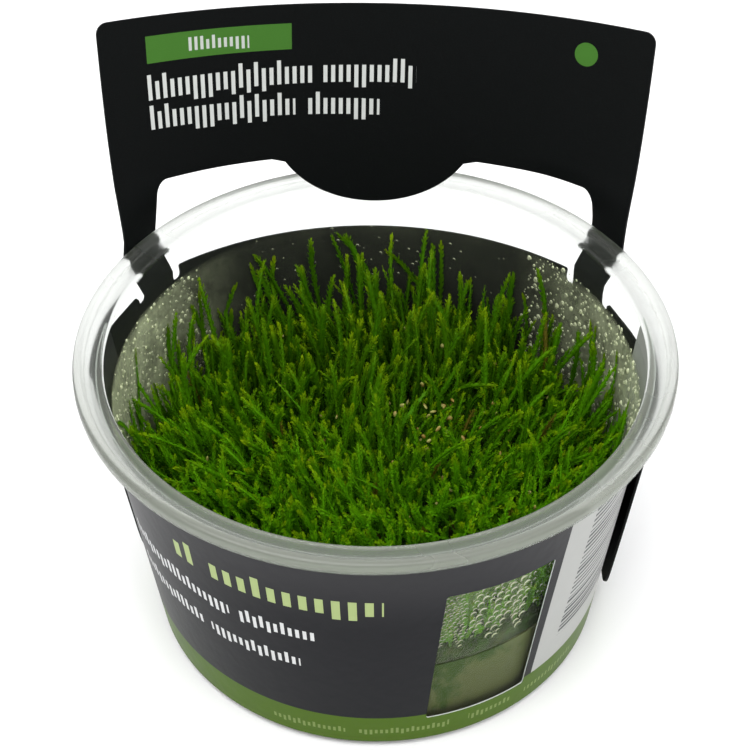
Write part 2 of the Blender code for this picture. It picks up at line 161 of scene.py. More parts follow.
class Graph:
    """A node tree of one material or world, filled through one method."""

    def __init__(self, owner: Union[bpy.types.Material, bpy.types.World]) -> None:
        """Empty a node tree.

        Args:
            owner: The material or world that the tree belongs to.
        """
        self.owner = owner
        owner.use_nodes = True
        self.tree = owner.node_tree
        self.tree.nodes.clear()

    def node(
        self,
        kind: str,
        settings: Optional[Mapping[str, Any]] = None,
        inputs: Optional[Mapping[Union[int, str], Any]] = None,
        output: Union[int, str] = 0,
    ) -> Wire:
        """Add a node.

        Args:
            kind: The node's type.
            settings: Properties, set before the sockets. "stops" are a ramp's (place, colour) pairs.
            inputs: Values or wires of its sockets, by name or index.
            output: Which output to return.

        Returns:
            The output as a wire.
        """
        made = self.tree.nodes.new(kind)
        for name, value in (settings or {}).items():
            if name == "stops":
                ramp = made.color_ramp
                while len(ramp.elements) < len(value):
                    ramp.elements.new(1.0)
                for element, (place, colour) in zip(ramp.elements, value):
                    element.position = place
                    element.color = (*colour, 1.0)
            else:
                setattr(made, name, value)
        for name, value in (inputs or {}).items():
            target = made.inputs[name]
            if isinstance(value, Wire):
                self.tree.links.new(value.socket, target)
            elif isinstance(value, tuple) and len(value) == 3 and target.type == "RGBA":
                target.default_value = (*value, 1.0)
            else:
                target.default_value = value
        return Wire(self, made.outputs[output])

    def blend(self, share: Value, first: Union[Wire, Colour], second: Union[Wire, Colour]) -> Wire:
        """Mix two colours.

        Args:
            share: How much of the second shows.
            first: The first colour.
            second: The second colour.

        Returns:
            The mixed colour.
        """
        return self.node("ShaderNodeMix", {"data_type": "RGBA"}, {0: share, 6: first, 7: second}, 2)

    def stretched(self, vector: Wire, scale: Colour) -> Wire:
        """Multiply a vector by a fixed one."""
        return self.node("ShaderNodeVectorMath", {"operation": "MULTIPLY"}, {0: vector, 1: scale})

    def noise(self, vector: Wire, scale: float, detail: float = 2.0, roughness: float = 0.5) -> Wire:
        """Add a cloudy pattern.

        Args:
            vector: Where it is read.
            scale: How fine it is.
            detail: How many finer layers it has.
            roughness: How strong the finer layers are.

        Returns:
            A value from 0 to 1.
        """
        return self.node(
            "ShaderNodeTexNoise",
            {"noise_dimensions": "3D"},
            {"Vector": vector, "Scale": scale, "Detail": detail, "Roughness": roughness},
        )

    def chance(self, number: Wire) -> Wire:
        """A random value from 0 to 1 that belongs to a number."""
        return self.node("ShaderNodeTexWhiteNoise", {"noise_dimensions": "1D"}, {"W": number}, "Value")

    def place(self) -> Wire:
        """Position on the object, in metres."""
        return self.node("ShaderNodeTexCoord", output="Object")

    def parts(self, vector: Wire) -> Tuple[Wire, Wire, Wire]:
        """Take a vector apart.

        Args:
            vector: The vector.

        Returns:
            Its three parts.
        """
        first = self.node("ShaderNodeSeparateXYZ", inputs={0: vector})
        outputs = first.socket.node.outputs
        return tuple(Wire(self, outputs[index]) for index in range(3))

    def attribute(self, name: str, output: str = "Vector") -> Wire:
        """A value stored on the mesh."""
        return self.node("ShaderNodeAttribute", {"attribute_name": name}, output=output)

    def shadow_ray(self) -> Wire:
        """1 for light that only looks for shadow."""
        return self.node("ShaderNodeLightPath", output="Is Shadow Ray")

    def bump(self, height: Wire, strength: float, distance: float) -> Wire:
        """A bumped normal."""
        return self.node("ShaderNodeBump", inputs={"Height": height, "Strength": strength, "Distance": distance})

    def principled(self, **inputs: Any) -> Wire:
        """A Principled shader, with its sockets named in capitals and underscores."""
        named = {name.replace("_", " ").title().replace("Ior", "IOR"): value for name, value in inputs.items()}
        return self.node("ShaderNodeBsdfPrincipled", inputs=named)

    def mixed(self, share: Value, first: Wire, second: Wire) -> Wire:
        """Mix two shaders."""
        return self.node("ShaderNodeMixShader", inputs={0: share, 1: first, 2: second})

    def surface(self, shader: Wire) -> None:
        """Send a shader to the output.

        Args:
            shader: The shader.
        """
        kind = "ShaderNodeOutputWorld" if isinstance(self.owner, bpy.types.World) else "ShaderNodeOutputMaterial"
        output = self.tree.nodes.new(kind)
        self.tree.links.new(shader.socket, output.inputs["Surface"])


def new_graph(name: str) -> Graph:
    """A new material's graph."""
    return Graph(bpy.data.materials.new(name))


# ---------------------------------------------------------------------------
# Finishes
# ---------------------------------------------------------------------------


@dataclass(frozen=True)
class ClearPlastic:
    """Clear moulded plastic: a wall that hides little, and a hazier flange with a grooved top, with painted shade in
    the groove and painted light that strengthens the flange's haze towards the front.
    """

    name: str = "clear_plastic"
    tint: Colour = (0.84, 0.86, 0.84)
    rim_tint: Colour = (0.76, 0.78, 0.75)
    haze: Colour = (0.195, 0.21, 0.172)
    groove_shade: Colour = (0.13, 0.145, 0.12)
    # painted shade: the flange's haze is darker in its groove
    passed_light: Colour = (0.95, 0.96, 0.95)
    rim_heights: Span = (0.0550, 0.0562)
    groove_starts: Span = (0.0461, 0.0468)
    groove_ends: Span = (0.0480, 0.0487)
    front_reach: Span = (-0.01, 0.045)
    roughness: float = 0.03
    patch_scale: float = 60.0
    patch_roughness: float = 0.04
    rim_roughness: float = 0.22
    haze_roughness: float = 0.35
    sheen_roughness: float = 0.1
    sheen_level: float = 0.5
    ripple_stretch: Colour = (1.0, 1.0, 0.35)
    ripple_scale: float = 90.0
    ripple_strength: float = 0.03
    ripple_depth: float = 0.0004
    cloud_stretch: Colour = (1.0, 1.0, 3.0)
    cloud_scale: float = 45.0
    cloud_share: float = 0.12
    least_haze: float = 0.03
    # painted light: extra pale haze on the front of the flange
    front_painted_light: float = 0.5
    wall_clearness: float = 0.965
    ior: float = 1.49
    gloss: float = 0.12
    shadow_share: float = 0.9

    def material(self) -> bpy.types.Material:
        """Make the material.

        Returns:
            The material.
        """
        graph = new_graph(self.name)
        place = graph.place()
        right, back, height = graph.parts(place)
        rim = height.eased(*self.rim_heights)
        radius = (right * right + back * back) ** 0.5
        # where the painted groove shade lies, between the groove's edges
        groove_shade = radius.eased(*self.groove_starts) * (1 - radius.eased(*self.groove_ends))
        # painted light: the flange's pale haze grows towards the front
        front_light_share = (back * -1.0).eased(*self.front_reach)
        ripple = graph.noise(graph.stretched(place, self.ripple_stretch), self.ripple_scale)
        patches = graph.noise(place, self.patch_scale) * self.patch_roughness
        glass = graph.principled(
            base_color=graph.blend(rim, self.tint, self.rim_tint),
            roughness=patches + self.roughness + rim * self.rim_roughness,
            ior=self.ior,
            transmission_weight=1.0,
            specular_ior_level=self.gloss,
            normal=graph.bump(ripple, self.ripple_strength, self.ripple_depth),
        )
        clear = graph.node("ShaderNodeBsdfTransparent", inputs={"Color": self.passed_light})
        haze = graph.principled(
            base_color=graph.blend(groove_shade, self.haze, self.groove_shade), roughness=self.haze_roughness
        )
        cloudy = graph.noise(graph.stretched(place, self.cloud_stretch), self.cloud_scale, 1.0)
        # share of pale haze: random clouds and a least share, plus painted light towards the front
        haze_and_front_light = cloudy * self.cloud_share + self.least_haze + front_light_share * self.front_painted_light
        sheen = graph.principled(
            base_color=self.haze, roughness=self.sheen_roughness, specular_ior_level=self.sheen_level
        )
        wall = graph.mixed(self.wall_clearness, sheen, clear)
        body = graph.mixed(rim, wall, graph.mixed(haze_and_front_light, glass, haze))
        graph.surface(graph.mixed(graph.shadow_ray() * self.shadow_share, body, clear))
        return graph.owner


@dataclass(frozen=True)
class WaterDrop:
    """Beads of condensation: mostly clear, with a painted highlight crescent."""

    name: str = "condensation"
    water: Colour = (1.0, 1.0, 1.0)
    # painted highlight: the pale crescent colour on each bead
    glint: Colour = (0.80, 0.86, 0.56)
    glint_share: float = 0.85
    glint_roughness: float = 0.25
    glint_scale: float = 260.0
    glint_spread: Span = (0.8, 0.4)
    see_through: float = 0.88
    ior: float = 1.333
    roughness: float = 0.02
    rough_scale: float = 500.0
    rough_spread: float = 0.03
    shadow_share: float = 0.9

    def material(self) -> bpy.types.Material:
        """Make the material.

        Returns:
            The material.
        """
        graph = new_graph(self.name)
        place = graph.place()
        least, spread = self.glint_spread
        rough = graph.noise(place, self.rough_scale) * self.rough_spread + self.roughness
        water = graph.principled(base_color=self.water, roughness=rough, ior=self.ior, transmission_weight=1.0)
        glint = graph.principled(base_color=self.glint, roughness=self.glint_roughness)
        # shine: where the painted highlight crescent lies on each bead
        shine = graph.attribute("shine", "Fac")
        clear = graph.node("ShaderNodeBsdfTransparent")
        # share of painted highlight, broken up by noise
        glinting = shine * (graph.noise(place, self.glint_scale) * spread + least) * self.glint_share
        body = graph.mixed(glinting, graph.mixed(self.see_through, water, clear), glint)
        graph.surface(graph.mixed(graph.shadow_ray() * self.shadow_share, body, clear))
        return graph.owner


@dataclass(frozen=True)
class Fog:
    """The fine mist of condensation between the beads."""

    name: str = "fogged_film"
    colour: Colour = (0.78, 0.85, 0.54)
    roughness: float = 0.5
    spread_share: float = 0.5
    fine_scale: float = 1100.0
    fine_edge: Span = (0.3, 0.75)
    fine_share: float = 0.45
    broad_scale: float = 150.0
    broad_edge: Span = (0.3, 0.7)
    broad_share: float = 0.65
    even_share: float = 0.42
    thickest: float = 0.95

    def material(self) -> bpy.types.Material:
        """Make the material.

        Returns:
            The material.
        """
        graph = new_graph(self.name)
        place = graph.place()
        grown = graph.attribute("mist", "Fac")
        fine = graph.noise(place, self.fine_scale, 2.0, 0.6).eased(*self.fine_edge)
        broad = graph.noise(place, self.broad_scale, 3.0, 0.55).eased(*self.broad_edge)
        patches = fine * self.fine_share + broad * self.broad_share + self.even_share
        mist = graph.principled(base_color=self.colour, roughness=self.roughness)
        spread = graph.node("ShaderNodeBsdfTranslucent", inputs={"Color": self.colour})
        clear = graph.node("ShaderNodeBsdfTransparent")
        fog = graph.mixed(self.spread_share, mist, spread)
        graph.surface(graph.mixed((grown * patches).smaller(self.thickest), clear, fog))
        return graph.owner


@dataclass(frozen=True)
class CloudedGel:
    """Set gel, cloudy and olive grey, darker towards its foot, with moss threads near its top."""

    name: str = "clouded_gel"
    pale: Colour = to_linear(96, 104, 62)
    deep: Colour = to_linear(72, 74, 40)
    moss: Colour = to_linear(48, 74, 14)
    depth: float = 0.022
    depth_share: float = 0.6
    cloud_scale: float = 70.0
    cloud_share: float = 0.5
    cloud_edge: Span = (0.1, 1.0)
    thread_stretch: Colour = (1.0, 1.0, 0.55)
    thread_scale: float = 150.0
    thread_rise: float = 16.0
    thread_edge: Span = (0.74, 0.86)
    thread_share: float = 0.9
    roughness: float = 0.35
    rough_spread: float = 0.15
    gloss: float = 0.05
    dent_scale: float = 260.0
    dent_strength: float = 0.1
    dent_depth: float = 0.0005

    def material(self) -> bpy.types.Material:
        """Make the material.

        Returns:
            The material.
        """
        graph = new_graph(self.name)
        place = graph.place()
        _, _, height = graph.parts(place)
        cloud = graph.noise(place, self.cloud_scale, 3.0)
        share = (height * (1.0 / self.depth)) * self.depth_share + cloud * self.cloud_share
        colour = graph.blend(share.eased(*self.cloud_edge), self.deep, self.pale)
        threads = graph.noise(graph.stretched(place, self.thread_stretch), self.thread_scale, 4.0, 0.62)
        threads = (threads + height * self.thread_rise).eased(*self.thread_edge)
        graph.surface(
            graph.principled(
                base_color=graph.blend(threads * self.thread_share, colour, self.moss),
                roughness=cloud * self.rough_spread + self.roughness,
                specular_ior_level=self.gloss,
                normal=graph.bump(graph.noise(place, self.dent_scale), self.dent_strength, self.dent_depth),
            )
        )
        return graph.owner


@dataclass(frozen=True)
class MossLeaf:
    """Moss leaves: dark and deep green low down, where shade is painted, yellow green at the growing tips, and
    lighter towards the front and sides, where light is painted.
    """

    name: str = "moss_green"
    shade: Colour = to_linear(56, 88, 0)
    green: Colour = to_linear(78, 124, 0)
    deep: Colour = to_linear(50, 108, 0)
    fresh: Colour = to_linear(138, 164, 0)
    # painted light: brighter, yellower green towards the front and sides
    painted_front_light: Colour = to_linear(104, 178, 6)
    straw: Colour = to_linear(104, 94, 28)
    glow: Colour = (0.16, 0.36, 0.003)
    glow_share: float = 0.3
    stem_shares: Span = (0.05, 0.62)
    tip_shares: Span = (0.78, 1.0)
    tip_tint: Span = (0.2, 0.8)
    deep_share: float = 0.55
    speck_share: float = 0.3
    speck_scale: float = 700.0
    speck_strength: float = 0.2
    speck_depth: float = 0.0001
    # painted light: how far and how strongly the front and sides are lightened
    side_share: float = 0.35
    front_reach: Span = (-0.024, 0.027)
    front_share: float = 0.7
    roughness: float = 0.5
    rough_spread: float = 0.25
    gloss: float = 0.12

    def material(self) -> bpy.types.Material:
        """Make the material.

        Returns:
            The material.
        """
        graph = new_graph(self.name)
        along, tint, old = graph.parts(graph.attribute("growth"))
        place = graph.place()
        right, back, _ = graph.parts(place)
        # where light is painted: towards the front and sides
        front = (abs(right) * self.side_share - back).eased(*self.front_reach)
        speck = graph.noise(place, self.speck_scale)
        least_tip, tip_spread = self.tip_tint
        # painted shade: darker low on each shoot
        body = graph.blend(along.eased(*self.stem_shares), self.shade, self.green)
        body = graph.blend((1 - tint) * self.deep_share + speck * self.speck_share, body, self.deep)
        body = graph.blend(front * self.front_share, body, self.painted_front_light)
        body = graph.blend(along.eased(*self.tip_shares) * (tint * tip_spread + least_tip), body, self.fresh)
        body = graph.blend(old, body, self.straw)
        leaf = graph.principled(
            base_color=body,
            roughness=speck * self.rough_spread + self.roughness,
            specular_ior_level=self.gloss,
            normal=graph.bump(speck, self.speck_strength, self.speck_depth),
        )
        through = graph.node("ShaderNodeBsdfTranslucent", inputs={"Color": self.glow})
        graph.surface(graph.mixed(self.glow_share, leaf, through))
        return graph.owner


@dataclass(frozen=True)
class MossMat:
    """The dark tangle of old stems that the shoots grow from."""

    name: str = "moss_mat"
    dark: Colour = to_linear(20, 38, 2)
    mid: Colour = to_linear(42, 76, 4)
    brown: Colour = to_linear(66, 52, 18)
    tangle_scale: float = 520.0
    tangle_edge: Span = (0.35, 0.7)
    patch_scale: float = 160.0
    patch_edge: Span = (0.58, 0.75)
    patch_share: float = 0.6
    roughness: float = 0.85
    gloss: float = 0.1
    bump_strength: float = 0.9
    bump_depth: float = 0.0012

    def material(self) -> bpy.types.Material:
        """Make the material.

        Returns:
            The material.
        """
        graph = new_graph(self.name)
        place = graph.place()
        tangle = graph.noise(place, self.tangle_scale, 4.0, 0.65)
        patches = graph.noise(place, self.patch_scale, 3.0).eased(*self.patch_edge)
        colour = graph.blend(tangle.eased(*self.tangle_edge), self.dark, self.mid)
        graph.surface(
            graph.principled(
                base_color=graph.blend(patches * self.patch_share, colour, self.brown),
                roughness=self.roughness,
                specular_ior_level=self.gloss,
                normal=graph.bump(tangle, self.bump_strength, self.bump_depth),
            )
        )
        return graph.owner


@dataclass(frozen=True)
class DrySpeck:
    """Dry buds and scraps caught in the moss."""

    name: str = "dry_speck"
    pale: Colour = to_linear(158, 156, 84)
    brown: Colour = to_linear(132, 104, 34)
    patch_scale: float = 420.0
    patch_edge: Span = (0.35, 0.65)
    roughness: float = 0.4
    rough_spread: float = 0.3

    def material(self) -> bpy.types.Material:
        """Make the material.

        Returns:
            The material.
        """
        graph = new_graph(self.name)
        share = graph.noise(graph.place(), self.patch_scale)
        colour = graph.blend(share.eased(*self.patch_edge), self.brown, self.pale)
        graph.surface(
            graph.principled(base_color=colour, roughness=share * self.rough_spread + self.roughness)
        )
        return graph.owner


@dataclass(frozen=True)
class WordRow:
    """A row of plain upright bars of mixed heights that stands in for words."""

    low: float
    high: float
    pitch: float
    spans: Tuple[Span, ...]
    body: float = 0.72
    rise: float = 0.28
    rising_above: float = 0.68
    hang: float = 0.24
    hanging_below: float = 0.12
    bar: Span = (0.25, 0.77)

    def mask(self, graph: Graph, across: Wire, height: Wire) -> Wire:
        """Draw the row.

        Args:
            graph: The material's graph.
            across: Distance along the row.
            height: Distance across the row.

        Returns:
            1 on a bar.
        """
        cell = across * self.pitch
        chance = graph.chance(cell.floor())
        size = self.high - self.low
        top = (chance > self.rising_above) * (self.rise * size) + (self.low + self.body * size)
        foot = (chance < self.hanging_below) * (-self.hang * size) + self.low
        within: Value = 0.0
        for start, end in self.spans:
            within = across.between(start, end) + within
        return cell.fraction().between(*self.bar) * (height < top) * (height > foot) * within


@dataclass(frozen=True)
class LabelPrint:
    """The label's print: charcoal, a green foot band, a pale panel with bars, and blocks in place of words, with
    random grain and a painted sheen that lightens the charcoal towards the top.
    """

    name: str = "label_print"
    charcoal: Colour = to_linear(18, 19, 23)
    # colour of random grain and of the painted sheen towards the label's top
    grain_and_sheen: Colour = to_linear(50, 50, 52)
    green: Colour = to_linear(70, 97, 16)
    pale: Colour = to_linear(168, 169, 166)
    bar: Colour = to_linear(62, 64, 64)
    word: Colour = to_linear(160, 176, 118)
    line: Colour = to_linear(205, 206, 206)
    title: WordRow = WordRow(39.6, 44.8, 0.30, ((-47.0, -40.0), (-36.5, 1.2)))
    upper: WordRow = WordRow(31.2, 34.4, 0.62, ((-66.0, -33.0), (-30.6, -12.5)))
    lower: WordRow = WordRow(23.0, 26.0, 0.62, ((-66.0, -42.0), (-39.6, -17.0)))
    foot: WordRow = WordRow(4.2, 5.8, 0.8, ((-26.0, -8.0), (-5.0, 17.0), (22.0, 34.0), (38.0, 56.0)))
    foot_ink: float = 0.4
    band_top: float = 9.1
    panel_foot: Point = (39.1, 7.5)
    panel_slope: float = 0.066
    ladder_foot: Point = (46.3, 15.3)
    ladder_slope: float = 0.124
    ladder_width: float = 28.0
    ladder_top: float = 47.6
    rung_pitch: float = 0.8
    rung_least: float = 0.22
    rung_spread: float = 0.5
    # painted sheen: the charcoal lightens towards the label's top
    painted_sheen_heights: Span = (34.0, 52.0)
    painted_sheen_share: float = 0.85
    grain_scale: float = 3.0
    grain_share: float = 0.15
    roughness: float = 0.3
    rough_spread: float = 0.08
    gloss: float = 0.06
    wave_scale: float = 0.35
    wave_strength: float = 0.04
    wave_depth: float = 0.001

    def ladder(self, graph: Graph, arc: Wire, height: Wire) -> Wire:
        """Draw the ladder of stripes.

        Args:
            graph: The material's graph.
            arc: Degrees from the front.
            height: Height in millimetres.

        Returns:
            1 on a stripe.
        """
        foot_arc, foot_height = self.ladder_foot
        start = height * self.ladder_slope + (foot_arc - foot_height * self.ladder_slope)
        rung = height * self.rung_pitch
        thick = graph.chance(rung.floor()) * self.rung_spread + self.rung_least
        within = (arc > start) * (arc < start + self.ladder_width) * height.between(foot_height, self.ladder_top)
        return within * (rung.fraction() < thick)

    def material(self) -> bpy.types.Material:
        """Make the material.

        Returns:
            The material.
        """
        graph = new_graph(self.name)
        blank = graph.attribute("blank")
        arc, height, _ = graph.parts(blank)
        panel_arc, panel_height = self.panel_foot
        edge = height * self.panel_slope + (panel_arc - panel_height * self.panel_slope)
        above = height > self.band_top
        grain = graph.noise(blank, self.grain_scale)
        # random grain plus painted sheen by height
        grain_and_sheen = grain * self.grain_share + height.eased(*self.painted_sheen_heights) * self.painted_sheen_share
        lines = self.upper.mask(graph, arc, height) + self.lower.mask(graph, arc, height)
        colour = graph.blend(grain_and_sheen, self.charcoal, self.grain_and_sheen)
        colour = graph.blend(self.title.mask(graph, arc, height), colour, self.word)
        colour = graph.blend(lines, colour, self.line)
        colour = graph.blend((arc > edge) * above, colour, self.pale)
        colour = graph.blend(self.ladder(graph, arc, height), colour, self.bar)
        band = graph.blend(self.foot.mask(graph, arc, height) * self.foot_ink, self.green, self.word)
        waves = graph.noise(blank, self.wave_scale, 1.0)
        graph.surface(
            graph.principled(
                base_color=graph.blend(1 - above, colour, band),
                roughness=grain * self.rough_spread + self.roughness,
                specular_ior_level=self.gloss,
                normal=graph.bump(waves, self.wave_strength, self.wave_depth),
            )
        )
        return graph.owner


@dataclass(frozen=True)
class FilmEdge:
    """The bright cut edge of the label film."""

    name: str = "film_edge"
    bright: Colour = to_linear(205, 210, 205)
    dull: Colour = to_linear(160, 166, 160)
    patch_scale: float = 300.0
    dull_share: float = 0.4
    roughness: float = 0.3

    def material(self) -> bpy.types.Material:
        """Make the material.

        Returns:
            The material.
        """
        graph = new_graph(self.name)
        share = graph.noise(graph.place(), self.patch_scale)
        colour = graph.blend(share * self.dull_share, self.bright, self.dull)
        graph.surface(graph.principled(base_color=colour, roughness=self.roughness))
        return graph.owner


@dataclass(frozen=True)
class BlackCard:
    """Matte black card with a green bar, a plain disc and pale blocks in place of words."""

    name: str = "black_card"
    black: Colour = to_linear(9, 11, 11)
    worn: Colour = to_linear(17, 20, 20)
    green: Colour = to_linear(64, 110, 42)
    pale: Colour = to_linear(200, 202, 199)
    bar_across: Span = (-41.1, -15.0)
    bar_up: Span = (26.9, 31.7)
    tag: WordRow = WordRow(28.2, 30.6, 0.95, ((-33.5, -22.6),))
    tag_ink: float = 0.85
    upper: WordRow = WordRow(20.4, 24.9, 0.72, ((-41.6, -11.4), (-9.7, 7.3)))
    lower: WordRow = WordRow(14.0, 18.3, 0.72, ((-41.6, -14.5), (-12.8, 0.8)))
    lower_tilt: float = 0.028
    disc: Point = (37.6, 29.3)
    disc_radius_squared: float = 4.4
    fibre_stretch: Colour = (1.0, 1.6, 1.0)
    fibre_scale: float = 2.4
    fibre_edge: Span = (0.4, 0.8)
    worn_share: float = 0.7
    roughness: float = 0.5
    rough_spread: float = 0.2
    gloss: float = 0.07
    bump_strength: float = 0.12
    bump_depth: float = 0.0002
    printed: bool = True

    def printing(self, graph: Graph, blank: Wire, colour: Wire) -> Wire:
        """Print the card's front.

        Args:
            graph: The material's graph.
            blank: Place on the flat blank, in millimetres.
            colour: The card's own colour.

        Returns:
            The printed colour.
        """
        across, up, _ = graph.parts(blank)
        upper = self.upper.mask(graph, across, up)
        lower = self.lower.mask(graph, across, up + across * self.lower_tilt)
        tag = self.tag.mask(graph, across, up)
        right, high = across - self.disc[0], up - self.disc[1]
        bar = across.between(*self.bar_across) * up.between(*self.bar_up)
        colour = graph.blend(bar, colour, self.green)
        colour = graph.blend(upper + lower, colour, self.pale)
        colour = graph.blend(tag * self.tag_ink, colour, self.pale)
        return graph.blend(right * right + high * high < self.disc_radius_squared, colour, self.green)

    def material(self) -> bpy.types.Material:
        """Make the material.

        Returns:
            The material.
        """
        graph = new_graph(self.name if self.printed else self.name + "_back")
        blank = graph.attribute("blank")
        fibre = graph.noise(graph.stretched(blank, self.fibre_stretch), self.fibre_scale, 4.0, 0.6)
        colour = graph.blend(fibre.eased(*self.fibre_edge) * self.worn_share, self.black, self.worn)
        if self.printed:
            colour = self.printing(graph, blank, colour)
        graph.surface(
            graph.principled(
                base_color=colour,
                roughness=fibre * self.rough_spread + self.roughness,
                specular_ior_level=self.gloss,
                normal=graph.bump(fibre, self.bump_strength, self.bump_depth),
            )
        )
        return graph.owner


@dataclass(frozen=True)
class PaleFloor:
    """A plain pale floor."""

    name: str = "pale_floor"
    colour: Colour = (0.97, 0.97, 0.97)
    roughness: float = 0.9
    gloss: float = 0.1

    def material(self) -> bpy.types.Material:
        """Make the material.

        Returns:
            The material.
        """
        graph = new_graph(self.name)
        floor = graph.principled(
            base_color=self.colour, roughness=self.roughness, specular_ior_level=self.gloss
        )
        graph.surface(floor)
        return graph.owner


# ---------------------------------------------------------------------------
# Meshes
# ---------------------------------------------------------------------------


@dataclass
class MeshData:
    """Points in millimetres, triangles or quads, and what is stored on them."""

    points: Array
    faces: List[Array]
    point_values: Dict[str, Array] = field(default_factory=dict)
    slots: Optional[Array] = None

    def piece(
        self, name: str, materials: Sequence[bpy.types.Material], smooth_angle: float = 180.0
    ) -> bpy.types.Object:
        """Make the object.

        Args:
            name: Its name.
            materials: Its finishes, by slot.
            smooth_angle: Edges flatter than this many degrees are shaded smooth.

        Returns:
            The object, linked to the scene.
        """
        mesh = bpy.data.meshes.new(name)
        sizes = np.concatenate([np.full(len(part), part.shape[1]) for part in self.faces])
        corners = np.concatenate([part.reshape(-1) for part in self.faces]).astype(np.int32)
        mesh.vertices.add(len(self.points))
        mesh.vertices.foreach_set("co", (self.points * METRE).astype(np.float32).reshape(-1))
        mesh.loops.add(len(corners))
        mesh.loops.foreach_set("vertex_index", corners)
        mesh.polygons.add(len(sizes))
        mesh.polygons.foreach_set("loop_start", np.concatenate([[0], np.cumsum(sizes)[:-1]]).astype(np.int32))
        if self.slots is not None:
            mesh.polygons.foreach_set("material_index", self.slots.astype(np.int32))
        mesh.update(calc_edges=True)
        for key, values in self.point_values.items():
            if values.ndim == 1:
                layer = mesh.attributes.new(key, "FLOAT", "POINT")
                layer.data.foreach_set("value", values.astype(np.float32))
            else:
                layer = mesh.attributes.new(key, "FLOAT_VECTOR", "POINT")
                layer.data.foreach_set("vector", values.astype(np.float32).reshape(-1))
        mesh.shade_smooth()
        if smooth_angle < 180.0:
            mesh.set_sharp_from_angle(angle=math.radians(smooth_angle))
        for material in materials:
            mesh.materials.append(material)
        mesh.validate()
        made = bpy.data.objects.new(name, mesh)
        bpy.context.scene.collection.objects.link(made)
        return made


def joined(parts: Sequence[MeshData]) -> MeshData:
    """Join meshes into one.

    Args:
        parts: The meshes, which all store the same values.

    Returns:
        One mesh of them all.
    """
    offset = 0
    faces = []
    for part in parts:
        faces += [block + offset for block in part.faces]
        offset += len(part.points)
    keys = parts[0].point_values.keys()
    values = {key: np.concatenate([part.point_values[key] for part in parts]) for key in keys}
    return MeshData(np.concatenate([part.points for part in parts]), faces, values)


def lathe(profile: Sequence[Point], segments: int) -> MeshData:
    """Spin an open profile whose ends lie on the axis into a closed skin.

    Args:
        profile: (radius, height) from the lower pole up the outside to the inner pole.
        segments: Facets around the axis.

    Returns:
        The mesh.
    """
    rings = np.array(profile[1:-1])
    turns = math.tau * np.arange(segments) / segments
    radii = rings[:, 0][:, None]
    points = np.stack(
        [radii * np.sin(turns), -radii * np.cos(turns), np.repeat(rings[:, 1][:, None], segments, axis=1)], axis=-1
    ).reshape(-1, 3)
    low_pole = len(points)
    points = np.concatenate([points, [[0.0, 0.0, profile[0][1]], [0.0, 0.0, profile[-1][1]]]])
    index = np.arange(segments)
    after = (index + 1) % segments
    quads = []
    for ring in range(len(rings) - 1):
        low = ring * segments
        high = low + segments
        quads.append(np.stack([low + index, low + after, high + after, high + index], axis=1))
    top = (len(rings) - 1) * segments
    caps = [
        np.stack([np.full(segments, low_pole), after, index], axis=1),
        np.stack([top + index, top + after, np.full(segments, low_pole + 1)], axis=1),
    ]
    return MeshData(points, [np.concatenate(quads), np.concatenate(caps)])


def fillet(corner: Point, before: Point, after: Point, radius: float, steps: int) -> List[Point]:
    """Round one corner of a path.

    Args:
        corner: The sharp corner.
        before: The point that the path comes from.
        after: The point that the path goes to.
        radius: Radius of the round, cut down where an edge is too short for it.
        steps: Chords in the round.

    Returns:
        The points that replace the corner.
    """
    here, back, ahead = (np.array(item, float) for item in (corner, before, after))
    back_length = np.linalg.norm(back - here)
    ahead_length = np.linalg.norm(ahead - here)
    back = (back - here) / back_length
    ahead = (ahead - here) / ahead_length
    half = math.acos(max(-1.0, min(1.0, float(back @ ahead)))) / 2
    if radius == 0.0 or math.cos(half) < 0.02:
        return [corner]
    tangent = min(radius / math.tan(half), 0.45 * back_length, 0.45 * ahead_length)
    centre = here + (back + ahead) / np.linalg.norm(back + ahead) * tangent / math.cos(half)
    start = here + back * tangent - centre
    end = here + ahead * tangent - centre
    sweep = math.atan2(start[0] * end[1] - start[1] * end[0], float(start @ end))
    rounded = []
    for step in range(steps + 1):
        turn = sweep * step / steps
        cosine, sine = math.cos(turn), math.sin(turn)
        rounded.append(
            (
                float(centre[0] + cosine * start[0] - sine * start[1]),
                float(centre[1] + sine * start[0] + cosine * start[1]),
            )
        )
    return rounded


def rounded_loop(corners: Sequence[Corner], longest: float, steps: int = 8) -> List[Point]:
    """Round the corners of a closed loop and split its long edges.

    Args:
        corners: (x, y, radius) of each corner.
        longest: Longest edge that is left whole.
        steps: Chords in each round.

    Returns:
        The loop's points.
    """
    loop: List[Point] = []
    for index, (x, y, radius) in enumerate(corners):
        loop += fillet((x, y), corners[index - 1][:2], corners[(index + 1) % len(corners)][:2], radius, steps)
    result: List[Point] = []
    for index, start in enumerate(loop):
        end = loop[(index + 1) % len(loop)]
        pieces = max(1, math.ceil(math.dist(start, end) / longest))
        result += [
            (start[0] + (end[0] - start[0]) * step / pieces, start[1] + (end[1] - start[1]) * step / pieces)
            for step in range(pieces)
        ]
    return result


